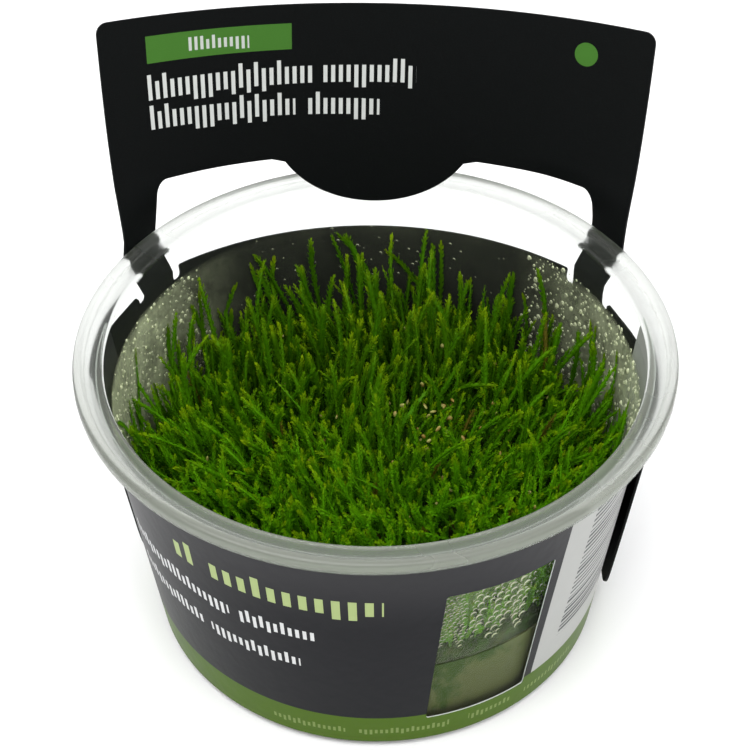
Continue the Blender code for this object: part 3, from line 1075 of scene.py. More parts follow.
@dataclass
class Blank:
    """A flat die-cut blank with one opening, bent into place and given a thickness."""

    outline: List[Point]
    hole: List[Point]
    grid: Array
    place: Callable[[float, float], Vector]
    thickness: float
    clearance: float = 0.3
    nudge: float = 0.01

    def within(self, points: Array, loop: Sequence[Point]) -> Array:
        """Tell which points lie inside a loop.

        Args:
            points: The flat points.
            loop: The loop.

        Returns:
            True for each point inside.
        """
        starts = np.array(loop)
        ends = np.roll(starts, 1, axis=0)
        x, y = points[:, 0][:, None], points[:, 1][:, None]
        rise = np.where(ends[:, 1] == starts[:, 1], TINY, ends[:, 1] - starts[:, 1])
        crosses = ((starts[:, 1] > y) != (ends[:, 1] > y)) & (
            x < (ends[:, 0] - starts[:, 0]) * (y - starts[:, 1]) / rise + starts[:, 0]
        )
        return crosses.sum(axis=1) % 2 == 1

    def from_edge(self, points: Array, loop: Sequence[Point]) -> Array:
        """Measure how far points are from a loop's edges.

        Args:
            points: The flat points.
            loop: The loop.

        Returns:
            The distance of each point.
        """
        starts = np.array(loop)
        along = np.roll(starts, -1, axis=0) - starts
        offset = points[:, None, :] - starts
        share = np.clip((offset * along).sum(axis=2) / (along**2).sum(axis=1), 0.0, 1.0)
        return np.linalg.norm(offset - along * share[:, :, None], axis=2).min(axis=1)

    def mesh(self) -> MeshData:
        """Triangulate, bend and thicken the blank.

        Returns:
            The mesh. Slot 0 is the front, slot 1 the back and slot 2 the cut edge.
        """
        keep = self.within(self.grid, self.outline) & ~self.within(self.grid, self.hole)
        kept = self.grid[keep]
        far = np.minimum(self.from_edge(kept, self.outline), self.from_edge(kept, self.hole)) > self.clearance
        flat = [Vector(point) for point in (*self.outline, *self.hole, *map(tuple, kept[far]))]
        rim, inner = len(self.outline), len(self.hole)
        edges = [(index, (index + 1) % rim) for index in range(rim)]
        edges += [(rim + index, rim + (index + 1) % inner) for index in range(inner)]
        points, _, faces, _, _, _ = delaunay_2d_cdt(flat, edges, [], 1, 1e-6)
        spots = np.array([tuple(point) for point in points])
        triangles = np.array(faces)
        middles = spots[triangles].mean(axis=1)
        triangles = triangles[~self.within(middles, self.hole)]
        a, b, c = (spots[triangles[:, index]] for index in range(3))
        turned = (b - a)[:, 0] * (c - a)[:, 1] - (b - a)[:, 1] * (c - a)[:, 0] < 0
        triangles[turned] = triangles[turned][:, ::-1]
        nudge = self.nudge
        fronts, backs = [], []
        for x, y in spots:
            across = self.place(x + nudge, y) - self.place(x - nudge, y)
            up = self.place(x, y + nudge) - self.place(x, y - nudge)
            normal = across.cross(up).normalized() * (self.thickness / 2)
            middle = self.place(x, y)
            fronts.append(tuple(middle + normal))
            backs.append(tuple(middle - normal))
        count = len(spots)
        sides = np.concatenate([triangles[:, [0, 1]], triangles[:, [1, 2]], triangles[:, [2, 0]]])
        known = {tuple(side) for side in sides}
        rims = np.array([side for side in sides if (side[1], side[0]) not in known])
        walls = np.stack([rims[:, 1], rims[:, 0], rims[:, 0] + count, rims[:, 1] + count], axis=1)
        faces_all = [triangles, triangles[:, ::-1] + count, walls]
        slots = np.repeat([0, 1, 2], [len(block) for block in faces_all])
        flat_values = np.concatenate([spots, np.zeros((count, 1))], axis=1)
        return MeshData(
            np.array(fronts + backs),
            faces_all,
            {"blank": np.concatenate([flat_values, flat_values])},
            slots,
        )


# ---------------------------------------------------------------------------
# Sub-assemblies
# ---------------------------------------------------------------------------


@dataclass
class Cup:
    """The open clear cup."""

    base_radius: float = 40.2
    slope: float = 0.1145
    wall: float = 0.9
    collar_wall: float = 0.65
    collar_floor: float = 50.0
    height: float = 57.4
    segments: int = 256
    smooth_angle: float = 50.0

    def outer(self, height: Union[float, Array]) -> Union[float, Array]:
        """Outer radius of the tapered wall."""
        return self.base_radius + self.slope * height

    def inner(self, height: Union[float, Array]) -> Union[float, Array]:
        """Inner radius below the collar."""
        return self.outer(height) - self.wall

    def profile(self) -> List[Point]:
        """Set out the section from the base's centre, up the outside, over the rim and down the inside.

        Returns:
            (radius, height) points.
        """
        foot_and_wall = [
            (0.0, 0.0),
            (38.6, 0.0),
            (39.3, 0.1),
            (39.9, 0.4),
            (40.2, 0.9),
            (self.outer(1.6), 1.6),
            (self.outer(25.0), 25.0),
            (self.outer(49.8), 49.8),
            (self.outer(50.3) + 0.15, 50.4),
            (self.outer(55.0) + 0.15, 55.0),
        ]
        flange = [
            (47.2, 55.35),
            (47.8, 55.5),
            (49.7, 55.5),
            (49.9, 55.3),
            (50.2, 55.25),
            (50.45, 55.45),
            (50.5, 55.8),
            (50.5, 56.6),
            (50.4, 57.0),
            (50.15, 57.28),
            (49.8, 57.4),
            (49.3, 57.4),
            (48.95, 57.28),
            (48.72, 57.0),
        ]
        groove_and_lip = [
            (48.6, 56.6),
            (48.35, 56.42),
            (48.0, 56.38),
            (46.5, 56.4),
            (46.1, 56.55),
            (45.75, 56.55),
            (45.5, 56.35),
            (45.42, 56.0),
        ]
        collar = self.outer(self.collar_floor) - self.collar_wall
        inside = [
            (collar + 0.45, 54.6),
            (collar, self.collar_floor + 0.3),
            (collar - 0.08, self.collar_floor),
            (self.inner(49.5) + 0.05, 49.6),
            (self.inner(49.2), 49.2),
            (self.inner(25.0), 25.0),
            (self.inner(2.2), 2.2),
            (self.inner(1.4) - 0.15, 1.4),
            (self.inner(1.0) - 0.6, 1.0),
            (0.0, 1.0),
        ]
        return foot_and_wall + flange + groove_and_lip + inside

    def build(self) -> bpy.types.Object:
        """Make the cup and stand it in for its CAD node.

        Returns:
            The piece.
        """
        plastic = ClearPlastic().material()
        piece = lathe(self.profile(), self.segments).piece("clear_cup", [plastic], self.smooth_angle)
        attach(piece, BODY)
        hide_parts("cup")
        return piece


@dataclass
class Gel:
    """The cast gel in the cup's lower part."""

    cup: Cup
    floor: float = 1.08
    top: float = 22.0
    dip: float = 0.5
    edge_gap: float = 0.04
    wall_gap: float = 0.05
    middle: float = 12.0
    segments: int = 128
    smooth_angle: float = 60.0

    def profile(self) -> List[Point]:
        """Section from the floor's centre, up the wall and over the meniscus.

        Returns:
            (radius, height) points.
        """
        edge = self.cup.inner(self.top) - self.edge_gap
        return [
            (0.0, self.floor),
            (self.cup.inner(1.0) - 0.9, self.floor),
            (self.cup.inner(1.4) - 0.3, 1.45),
            (self.cup.inner(2.2) - self.wall_gap, 2.2),
            (self.cup.inner(self.middle) - self.wall_gap, self.middle),
            (edge, self.top),
            (edge - 0.25, self.top - 0.1),
            (edge - 0.9, self.top - 0.42),
            (edge - 2.0, self.top - self.dip),
            (0.0, self.top - self.dip),
        ]

    def build(self) -> bpy.types.Object:
        """Make the gel and stand it in for its CAD node.

        Returns:
            The piece.
        """
        gel = CloudedGel().material()
        piece = lathe(self.profile(), self.segments).piece("gel_plug", [gel], self.smooth_angle)
        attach(piece, BODY)
        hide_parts("nutrient_gel")
        return piece


@dataclass(frozen=True)
class ShootKind:
    """One kind of shoot: how close they stand, how high they reach, how stout they are and how finely made."""

    spacing: float
    middle_top: float
    rise_to_back: float
    spread: float
    girth: float
    leaf: float
    splay: float
    thinning: float
    nodes: int
    rings: int
    sides: int


@dataclass
class Moss:
    """The moss: a low tangled mat, a dense undergrowth and taller separate shoots."""

    cup: Cup
    radius: float = 43.0
    mat_top: float = 26.5
    mat_foot: float = 21.7
    mat_gap: float = 0.5
    mat_foot_level: float = 22.2
    mat_rings: int = 44
    mat_segments: int = 160
    mat_lumps: float = 1.3
    mat_fine: float = 0.35
    mat_droop: float = 1.2
    row_share: float = 0.866
    root_gap: float = 1.2
    root_depth: float = 1.5
    root_scatter: float = 0.28
    open_thinning: float = 0.75
    back_thinning: float = 0.5
    front_reach: Span = (18.0, 46.0)
    back_ring: Span = (24.0, 14.0)
    back_reach: Span = (8.0, 24.0)
    clearing: Tuple[float, float, float] = (11.0, 6.0, 8.0)
    clearing_width: float = 1.3
    clearing_depth: float = 3.0
    unevenness: float = 1.6
    lowest: float = 29.5
    highest: float = 48.6
    wall_gap: float = 0.35
    lean: float = 0.15
    least_lean: float = 0.04
    front_lean: float = 1.1
    swirl: float = 0.17
    curl: float = 0.14
    curl_turn: float = 1.3
    curl_power: float = 2.6
    hooked: float = 0.06
    hook: float = 4.0
    droop: float = 0.3
    droop_power: float = 2.4
    front_slimness: float = 0.5
    front_leafiness: float = 0.25
    mixed_sizes: Span = (0.7, 1.25)
    dead: float = 0.008
    tip_start: float = 0.86
    least_body: float = 0.15
    foot_body: Span = (0.45, 0.55)
    foot_taper: float = 2.2
    leaf_tip_growth: float = 0.05
    stem_growth: float = 0.94
    ring_crowding: float = 0.8
    flatness: float = 0.6
    leaf_turn: float = 1.18
    leaf_jitter: float = 0.3
    leaf_rise: Span = (0.9, 2.0)
    bud_start: float = 0.92
    bud_rise: float = 0.9
    leaf_width: float = 0.26
    leaf_root: float = 0.55
    leaf_belly: float = 0.45
    pieces: int = 5
    seed: int = 7
    kinds: Tuple[ShootKind, ...] = (
        ShootKind(2.00, 30.5, 0.0, 1.6, 0.22, 0.66, 0.12, 0.2, 16, 5, 3),
        ShootKind(1.90, 36.5, -1.0, 2.6, 0.28, 0.62, 0.30, 0.7, 30, 7, 4),
        ShootKind(3.30, 41.0, 5.5, 3.2, 0.46, 0.74, 0.46, 1.0, 50, 10, 5),
    )

    def lumps(self, x: Array, y: Array) -> Array:
        """Make the clump uneven with a slow wave.

        Args:
            x: Distances to the right.
            y: Distances to the back.

        Returns:
            Heights between about -1 and 1.
        """
        return (
            np.sin(x * 0.21 + 1.3) * np.cos(y * 0.24 - 0.4)
            + 0.6 * np.sin(x * 0.47 - y * 0.39 + 2.0)
            + 0.4 * np.sin(x * 0.9 + y * 0.8)
        ) / 2.0

    def mat_points(self) -> Array:
        """Set out the mat: its top ring by ring, its foot, and the two poles.

        Returns:
            The points.
        """
        segments = self.mat_segments
        share = np.linspace(0.0, 1.0, self.mat_rings + 1)[1:]
        turns = math.tau * np.arange(segments) / segments
        radius = share[:, None] * (self.cup.inner(self.mat_top) - self.mat_gap)
        x = radius * np.sin(turns)
        y = -radius * np.cos(turns)
        fine = np.sin(x * 3.1 + y * 1.7) * np.cos(y * 2.9 - x * 1.1) * self.mat_fine
        z = self.mat_top + self.lumps(x, y) * self.mat_lumps + fine - self.mat_droop * share[:, None] ** 8
        top = np.stack([x, y, z], axis=-1).reshape(-1, 3)
        reach = self.cup.inner(self.mat_foot_level) - self.mat_gap
        foot = np.stack([reach * np.sin(turns), -reach * np.cos(turns), np.full(segments, self.mat_foot)], axis=1)
        return np.concatenate([top, foot, [[0.0, 0.0, self.mat_top], [0.0, 0.0, self.mat_foot]]])

    def mat(self) -> bpy.types.Object:
        """Make the tangled mat that the shoots stand in, and stand it in for the CAD node.

        Returns:
            The piece.
        """
        rings, segments = self.mat_rings, self.mat_segments
        points = self.mat_points()
        index = np.arange(segments)
        after = (index + 1) % segments
        quads = []
        for ring in range(rings - 1):
            low, high = ring * segments, (ring + 1) * segments
            quads.append(np.stack([low + index, high + index, high + after, low + after], axis=1))
        last = (rings - 1) * segments
        quads.append(np.stack([last + index, last + segments + index, last + segments + after, last + after], axis=1))
        crown, bottom = len(points) - 2, len(points) - 1
        caps = np.concatenate(
            [
                np.stack([np.full(segments, crown), index, after], axis=1),
                np.stack([np.full(segments, bottom), last + segments + after, last + segments + index], axis=1),
            ]
        )
        piece = MeshData(points, [np.concatenate(quads), caps]).piece("moss_mat", [MossMat().material()])
        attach(piece, BODY)
        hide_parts("moss_clump")
        return piece

    def roots(self, kind: ShootKind, random: np.random.Generator) -> Array:
        """Choose where the shoots of a kind stand, on a jittered triangular grid.

        Args:
            kind: What sort of shoots they are.
            random: The source of their differences.

        Returns:
            (x, y) of each shoot.
        """
        reach = self.cup.inner(self.mat_top) - self.root_gap
        rows = np.arange(-reach, reach, kind.spacing * self.row_share)
        spots = []
        for number, y in enumerate(rows):
            x = np.arange(-reach, reach, kind.spacing) + (number % 2) * kind.spacing / 2
            spots.append(np.stack([x, np.full(len(x), y)], axis=1))
        spots = np.concatenate(spots)
        spots += random.normal(0.0, self.root_scatter * kind.spacing, spots.shape)
        open_share, back_share = self.open_share(spots), self.back_share(spots)
        thinned = kind.thinning * (self.open_thinning * open_share + self.back_thinning * back_share)
        kept = random.random(len(spots)) > thinned
        return spots[kept & (np.hypot(spots[:, 0], spots[:, 1]) < reach)]

    def front_share(self, spots: Array) -> Array:
        """How far spots lie towards the front, from 0 to 1."""
        share = np.clip((self.front_reach[0] - spots[:, 1]) / self.front_reach[1], 0.0, 1.0)
        return share * share * (3.0 - 2.0 * share)

    def back_share(self, spots: Array) -> Array:
        """How far spots lie in the looser growth along the back wall, from 0 to 1."""
        out = np.clip((np.hypot(spots[:, 0], spots[:, 1]) - self.back_ring[0]) / self.back_ring[1], 0.0, 1.0)
        return out * np.clip((spots[:, 1] + self.back_reach[0]) / self.back_reach[1], 0.0, 1.0)

    def open_share(self, spots: Array) -> Array:
        """Tell how far spots lie in the clearing.

        Args:
            spots: (x, y) of each spot.

        Returns:
            A share from 0 to 1 for each.
        """
        x, y, radius = self.clearing
        wide = self.clearing_width * radius
        return np.exp(-(((spots[:, 0] - x) / wide) ** 2) - ((spots[:, 1] - y) / radius) ** 2)

    def paths(self, kind: ShootKind, spots: Array, random: np.random.Generator) -> Tuple[Array, Array]:
        """Draw the middle lines of shoots.

        Args:
            kind: What sort of shoots they are.
            spots: Where they stand.
            random: The source of their differences.

        Returns:
            Points along each shoot, and the way that each leans.
        """
        count = len(spots)
        x, y = spots[:, 0], spots[:, 1]
        tops = kind.middle_top + kind.rise_to_back * (y / self.radius) + self.unevenness * self.lumps(x, y)
        tops += random.normal(0.0, kind.spread, count) - self.clearing_depth * self.open_share(spots)
        tops = np.clip(tops, self.lowest, self.highest)
        base = self.mat_top - self.root_depth + self.lumps(x, y)
        length = tops - base
        sway = random.uniform(0.0, math.tau, count)
        front = self.front_share(spots)
        lean = np.abs(random.normal(0.0, self.lean, count)) * (1.0 + self.front_lean * front) + self.least_lean
        swirl = np.stack([np.sin(y * 0.13 + x * 0.05 + 0.5), np.cos(x * 0.15 - y * 0.06)], axis=1) * self.swirl
        outward = spots / self.radius * kind.splay
        bend = np.stack([np.cos(sway), np.sin(sway)], axis=1) * lean[:, None] + swirl + outward
        turned = sway + self.curl_turn
        curl = np.stack([np.cos(turned), np.sin(turned)], axis=1) * random.normal(0.0, self.curl, count)[:, None]
        hooked = random.random(count) < self.hooked
        curl[hooked] *= self.hook
        share = np.linspace(0.0, 1.0, kind.nodes)
        path = np.zeros((count, kind.nodes, 3))
        path[:, :, :2] = (
            spots[:, None, :]
            + bend[:, None, :] * (length[:, None] * share)[:, :, None]
            + curl[:, None, :] * (length[:, None] * share**self.curl_power)[:, :, None]
        )
        swing = np.linalg.norm(bend + curl, axis=1)
        drop = (swing**2 * length * self.droop)[:, None] * share**self.droop_power
        path[:, :, 2] = base[:, None] + length[:, None] * share - drop
        return path, sway

    def growth(self, shape: Tuple[int, ...], share: Array, tint: Array, dead: Array) -> Array:
        """Fill what the leaves' finish reads: how far up the shoot, its tint, and whether it is dead.

        Args:
            shape: Shoots, places along each, and points at each place.
            share: How far up the shoot each place is.
            tint: The tint of each shoot.
            dead: 1 for each dead shoot.

        Returns:
            The values, one vector a point.
        """
        values = np.zeros((*shape, 3))
        values[..., 0] = share[None, :, None]
        values[..., 1] = tint[:, None, None]
        values[..., 2] = dead[:, None, None]
        return values

    def shoots(self, kind: ShootKind, spots: Array, random: np.random.Generator) -> MeshData:
        """Grow leafy shoots at the given spots.

        Args:
            kind: What sort of shoots they are.
            spots: Where they stand.
            random: The source of their differences.

        Returns:
            One mesh of them all.
        """
        path, sway = self.paths(kind, spots, random)
        count, nodes = len(spots), kind.nodes
        share = np.linspace(0.0, 1.0, nodes)
        tangent = np.gradient(path, axis=1)
        tangent /= np.linalg.norm(tangent, axis=2, keepdims=True)
        away = np.stack([np.cos(sway * 3.0), np.sin(sway * 3.0), np.full(count, 0.1)], axis=1)[:, None, :]
        side = np.cross(tangent, away)
        side /= np.linalg.norm(side, axis=2, keepdims=True) + TINY
        other = np.cross(tangent, side)
        front = self.front_share(spots)
        girth = kind.girth * random.uniform(*self.mixed_sizes, count) * (1.0 - self.front_slimness * front)
        feather = kind.leaf * (1.0 + self.front_leafiness * front)
        tint = random.random(count)
        dead = (random.random(count) < self.dead).astype(float)
        taper = np.clip((share - self.tip_start) / (1.0 - self.tip_start), 0.0, 1.0)
        tip = np.sqrt(np.clip(1.0 - taper**2, 0.0, 1.0))
        least, spread = self.foot_body
        stout = least + spread * np.clip(share * self.foot_taper, 0.0, 1.0)
        body = np.maximum(stout * tip, self.least_body)

        leaf_points, leaf_values = [], []
        for order in range(2):
            jitter = random.normal(0.0, self.leaf_jitter, (count, nodes))
            turn = np.arange(nodes)[None, :] * self.leaf_turn + order * math.pi + jitter
            radial = np.cos(turn)[:, :, None] * side + self.flatness * np.sin(turn)[:, :, None] * other
            bud = np.where(share > self.bud_start, self.bud_rise, 0.0)
            rise = random.uniform(*self.leaf_rise, (count, nodes)) + bud
            direction = radial + rise[:, :, None] * tangent
            direction /= np.linalg.norm(direction, axis=2, keepdims=True)
            across = np.cross(direction, tangent)
            across /= np.linalg.norm(across, axis=2, keepdims=True) + TINY
            mixed = random.uniform(*self.mixed_sizes, (count, nodes))
            size = feather[:, None] * mixed * (least + spread * body)[None, :]
            reach = (girth[:, None] * body[None, :] + size)[:, :, None]
            half = (self.leaf_width * reach[:, :, 0])[:, :, None]
            root = path + radial * (girth[:, None] * body[None, :] * self.leaf_root)[:, :, None]
            belly = root + direction * reach * self.leaf_belly
            leaf = np.stack([root, belly + across * half, belly - across * half, root + direction * reach], axis=2)
            leaf_points.append(leaf.reshape(-1, 3))
            values = self.growth((count, nodes, 4), share, tint, dead)
            values[:, :, 3, 0] += self.leaf_tip_growth
            leaf_values.append(values.reshape(-1, 3))
        points = np.concatenate(leaf_points)
        leaves = np.arange(len(points) // 4)[:, None] * 4
        triangles = np.concatenate([leaves + [0, 1, 3], leaves + [0, 3, 2]])

        rings = ((nodes - 1) * np.linspace(0.0, 1.0, kind.rings) ** self.ring_crowding).round().astype(int)
        angle = math.tau * np.arange(kind.sides) / kind.sides
        around = np.cos(angle)[None, None, :, None] * side[:, rings, None, :]
        around = around + self.flatness * np.sin(angle)[None, None, :, None] * other[:, rings, None, :]
        core = path[:, rings, None, :] + around * (girth[:, None] * body[rings][None, :])[:, :, None, None]
        values = self.growth((count, len(rings), kind.sides), share[rings] * self.stem_growth, tint, dead)
        lattice = len(points) + np.arange(count * len(rings) * kind.sides).reshape(count, len(rings), kind.sides)
        low, high = lattice[:, :-1], lattice[:, 1:]
        quads = np.stack([low, np.roll(low, -1, axis=2), np.roll(high, -1, axis=2), high], axis=-1).reshape(-1, 4)
        lids = np.concatenate([lattice[:, -1], lattice[:, 0, ::-1]])
        points = self.kept_inside(np.concatenate([points, core.reshape(-1, 3)]))
        growth = np.concatenate([*leaf_values, values.reshape(-1, 3)])
        return MeshData(points, [triangles, quads, lids], {"growth": growth})

    def kept_inside(self, points: Array) -> Array:
        """Press points that would pass through the cup's wall back inside it.

        Args:
            points: The points.

        Returns:
            The points, each within the wall.
        """
        radius = np.hypot(points[:, 0], points[:, 1])
        most = self.cup.inner(points[:, 2]) - self.wall_gap
        squeeze = np.minimum(1.0, most / np.maximum(radius, 1e-6))
        points[:, 0] *= squeeze
        points[:, 1] *= squeeze
        return points

    def build(self) -> List[bpy.types.Object]:
        """Make the mat and the shoots.

        Returns:
            The pieces.
        """
        random = np.random.default_rng(self.seed)
        made = [self.mat()]
        leaf = MossLeaf().material()
        batches: List[List[MeshData]] = [[] for _ in range(self.pieces)]
        for kind in self.kinds:
            spots = self.roots(kind, random)
            order = np.argsort(np.arctan2(spots[:, 0], -spots[:, 1]))
            for batch, share in zip(batches, np.array_split(spots[order], self.pieces)):
                batch.append(self.shoots(kind, share, random))
            LOG.info("moss: %d shoots", len(spots))
        for number, batch in enumerate(batches):
            piece = joined(batch).piece(f"moss_shoots_{number + 1}", [leaf])
            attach(piece, BODY)
            made.append(piece)
        return made


@dataclass
class Scraps:
    """Dry buds and scraps lying in the moss, many of them gathered in the clearing."""

    count: int = 84
    gathered: int = 36
    middle: Point = (10.0, 6.0)
    scatter: Point = (8.0, 7.0)
    gathered_heights: Span = (30.0, 35.0)
    spread_radius: float = 36.0
    spread_heights: Span = (29.0, 35.0)
    sizes: Tuple[Span, Span, Span] = ((0.22, 0.5), (0.18, 0.36), (0.35, 0.75))
    around: int = 8
    rows: int = 6
    seed: int = 11

    def spot(self, number: int, random: np.random.Generator) -> Tuple[float, float, float]:
        """Choose where a scrap lies.

        Args:
            number: Which scrap it is. The first ones are gathered in the clearing.
            random: The source of their differences.

        Returns:
            Its place.
        """
        if number < self.gathered:
            x = random.normal(self.middle[0], self.scatter[0])
            y = random.normal(self.middle[1], self.scatter[1])
            return x, y, random.uniform(*self.gathered_heights)
        turn = random.uniform(0, math.tau)
        far = self.spread_radius * math.sqrt(random.random())
        return far * math.cos(turn), far * math.sin(turn), random.uniform(*self.spread_heights)

    def build(self) -> bpy.types.Object:
        """Make the scraps.

        Returns:
            The piece.
        """
        random = np.random.default_rng(self.seed)
        sphere = self.ball()
        parts = []
        for number in range(self.count):
            spot = self.spot(number, random)
            size = np.array([random.uniform(*span) for span in self.sizes])
            turn = random.uniform(0, math.pi)
            axis = Vector(random.normal(size=3)).normalized()
            spin = np.array(Matrix.Rotation(turn, 3, axis))
            parts.append(MeshData((sphere.points * size) @ spin.T + spot, sphere.faces))
        piece = joined(parts).piece("dry_specks", [DrySpeck().material()])
        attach(piece, BODY)
        return piece

    def ball(self) -> MeshData:
        """Turn a ball of radius 1.

        Returns:
            The mesh, in triangles.
        """
        turns = [math.pi * row / self.rows for row in range(1, self.rows)]
        profile = [(math.sin(turn), -math.cos(turn)) for turn in turns]
        ball = lathe([(0.0, -1.0), *profile, (0.0, 1.0)], self.around)
        quads, caps = ball.faces
        triangles = np.concatenate([quads[:, [0, 1, 2]], quads[:, [0, 2, 3]], caps])
        return MeshData(ball.points, [triangles])


@dataclass(frozen=True)
class Stretch:
    """One stretch of the inner wall where beads of water gather, and the beads on it."""

    arcs: Span
    heights: Span
    count: int
    sizes: Span
    clear_radius: float = 0.8
    # beads here get a stronger painted highlight
    glinting: bool = False


class WallPatch(Enum):
    """The stretches of the inner wall that carry beads."""

    LEFT = Stretch((-134.0, -50.0), (28.0, 48.6), 760, (0.15, 0.46), glinting=True)
    RIGHT = Stretch((50.0, 140.0), (27.0, 49.0), 820, (0.15, 0.52), glinting=True)
    WINDOW = Stretch((9.0, 34.0), (25.5, 45.0), 1300, (0.24, 0.86), 0.6)
    WINDOW_EDGE = Stretch((34.5, 44.0), (30.0, 48.0), 60, (0.15, 0.4), 0.6)
    BACK = Stretch((140.0, 220.0), (34.0, 49.0), 60, (0.14, 0.34))


@dataclass
class Condensation:
    """Beads and mist of water on the cup's inner wall."""

    cup: Cup
    bead_rows: int = 3
    bead_around: int = 10
    bead_height: float = 0.8
    bead_stretch: Span = (0.95, 1.15)
    # the painted highlight crescent: its turn, width and fade towards the middle
    crescent_turn: float = 242.0
    crescent: Span = (0.32, 0.95)
    crescent_fade: float = 0.75
    size_power: float = 2.2
    tries: int = 12
    spacing: float = 1.02
    sink: float = 0.03
    # steps of extra painted highlight for the glinting stretches, and their odds
    glint_steps: Tuple[float, float, float] = (0.08, 0.22, 0.5)
    glint_odds: Tuple[float, float, float] = (0.5, 0.4, 0.1)
    runs: Tuple[Tuple[float, float, float], ...] = ((19.6, -0.02, 1.3), (24.6, 0.05, 1.2))
    run_from: float = 43.0
    wet_foot: Tuple[float, float, float] = (27.5, 2.5, 0.9)
    window_size: Span = (0.40, 0.38)
    window_arcs: Span = (17.0, 24.0)
    mist_columns: int = 240
    mist_rows: int = 40
    mist_heights: Span = (22.3, 49.1)
    mist_gap: float = 0.06
    mist_fade: float = 1.5
    thin_mist: float = 0.025
    misted: Tuple[Tuple[float, Span, Span], ...] = (
        (0.95, (-150.0, -96.0), (-44.0, -56.0)),
        (0.56, (48.0, 60.0), (146.0, 108.0)),
        (0.11, (-8.0, -2.0), (33.6, 33.0)),
    )
    seed: int = 5

    def bead(self, clear_radius: float) -> MeshData:
        """Model one low dome of radius 1 with its flat side at x = 0, with a painted highlight crescent near its
        edge.

        Args:
            clear_radius: How far out from its middle the dome is free of shine.

        Returns:
            The mesh, with its shine.
        """
        around = self.bead_around
        turns = math.tau * np.arange(around) / around
        least, spread = self.crescent
        # painted highlight: a crescent of shine on the dome's outer rings
        crescent = np.clip(least + spread * np.cos(turns - math.radians(self.crescent_turn)), 0.0, 1.0)
        rings = [np.stack([np.zeros(around), clear_radius * np.cos(turns), clear_radius * np.sin(turns)], axis=1)]
        shine = [np.zeros(around)]
        for row in range(self.bead_rows):
            rise = 0.5 * math.pi * row / self.bead_rows
            lift = np.full(around, math.sin(rise) * self.bead_height)
            radius = math.cos(rise)
            rings.append(np.stack([lift, radius * np.cos(turns), radius * np.sin(turns)], axis=1))
            shine.append(max(0.0, 1.0 - self.crescent_fade * row) * crescent)
        points = np.concatenate([*rings, [[self.bead_height, 0.0, 0.0], [0.0, 0.0, 0.0]]])
        index = np.arange(around)
        after = (index + 1) % around
        triangles = []
        for row in range(self.bead_rows):
            low, high = row * around, (row + 1) * around
            triangles.append(np.stack([low + index, low + after, high + after], axis=1))
            triangles.append(np.stack([low + index, high + after, high + index], axis=1))
        last = self.bead_rows * around
        triangles.append(np.stack([last + index, last + after, np.full(around, len(points) - 2)], axis=1))
        triangles.append(np.stack([after, index, np.full(around, len(points) - 1)], axis=1))
        return MeshData(points, [np.concatenate(triangles)], {"shine": np.concatenate([*shine, [0.0, 0.0]])})

    def wiped(self, arc: float, height: float) -> float:
        """Tell how much of the water behind the window has run down.

        Args:
            arc: Degrees from the front.
            height: Height in millimetres.

        Returns:
            A share from 0 to 1.
        """
        shares = [
            math.exp(-(((arc - middle + slant * (self.run_from - height)) / width) ** 4))
            for middle, slant, width in self.runs
        ]
        level, swing, pitch = self.wet_foot
        return max(*shares, 1.0 if height < level + swing * math.sin(arc * pitch) else 0.0)

    def left_out(self, patch: WallPatch, arc: float, height: float, size: float, random: np.random.Generator) -> bool:
        """Tell whether a bead behind the window is left out.

        Args:
            patch: The stretch that the bead is on.
            arc: Degrees from the front.
            height: Height in millimetres.
            size: The bead's radius.
            random: The source of their differences.

        Returns:
            True where the water has run down, or where beads are still smaller than this one.
        """
        if patch is not WallPatch.WINDOW:
            return False
        if self.wiped(arc, height) > random.random():
            return True
        least, spread = self.window_size
        return bool(size > least + spread * self.eased(np.array(arc), *self.window_arcs))

    def scatter(self, patch: WallPatch, random: np.random.Generator) -> List[Tuple[float, float, float]]:
        """Choose places for beads on one stretch, the largest first, none over another.

        Args:
            patch: The stretch.
            random: The source of their differences.

        Returns:
            (arc, height, radius) of each bead.
        """
        least, most = patch.value.sizes
        sizes = np.sort(least + (most - least) * random.random(patch.value.count) ** self.size_power)[::-1]
        kept: List[Tuple[float, float, float]] = []
        places = np.zeros((0, 3))
        for size in sizes:
            for _ in range(self.tries):
                arc = random.uniform(*patch.value.arcs)
                height = random.uniform(*patch.value.heights)
                if self.left_out(patch, arc, height, size, random):
                    continue
                flat = np.array([math.radians(arc) * self.cup.inner(height), height, size])
                apart = np.hypot(*(places[:, :2] - flat[:2]).T)
                if (apart < (places[:, 2] + size) * self.spacing).any():
                    continue
                places = np.vstack([places, flat])
                kept.append((arc, height, float(size)))
                break
        return kept

    def beads(self, patch: WallPatch, random: np.random.Generator) -> MeshData:
        """Set beads on one stretch.

        Args:
            patch: The stretch.
            random: The source of their differences.

        Returns:
            One mesh of them all.
        """
        kept = self.scatter(patch, random)
        bead = self.bead(patch.value.clear_radius)
        parts = []
        for arc, height, size in kept:
            turn = math.radians(arc)
            outward = np.array([math.sin(turn), -math.cos(turn), 0.0])
            inward = -outward - np.array([0.0, 0.0, -self.cup.slope])
            inward /= np.linalg.norm(inward)
            sideways = np.array([math.cos(turn), math.sin(turn), 0.0])
            downward = np.cross(inward, sideways)
            frame = np.stack([inward, sideways, downward * random.uniform(*self.bead_stretch)])
            centre = outward * (self.cup.inner(height) - self.sink) + [0.0, 0.0, height]
            shine = bead.point_values["shine"]
            # stronger painted highlight on each bead of a glinting stretch
            if patch.value.glinting:
                shine = np.clip(shine + random.choice(self.glint_steps, p=self.glint_odds), 0.0, 1.0)
            parts.append(MeshData((bead.points * size) @ frame + centre, bead.faces, {"shine": shine}))
        return joined(parts)

    def eased(self, value: Array, start: float, end: float) -> Array:
        """Smooth step from 0 at start to 1 at end."""
        share = np.clip((value - start) / (end - start), 0.0, 1.0)
        return share * share * (3.0 - 2.0 * share)

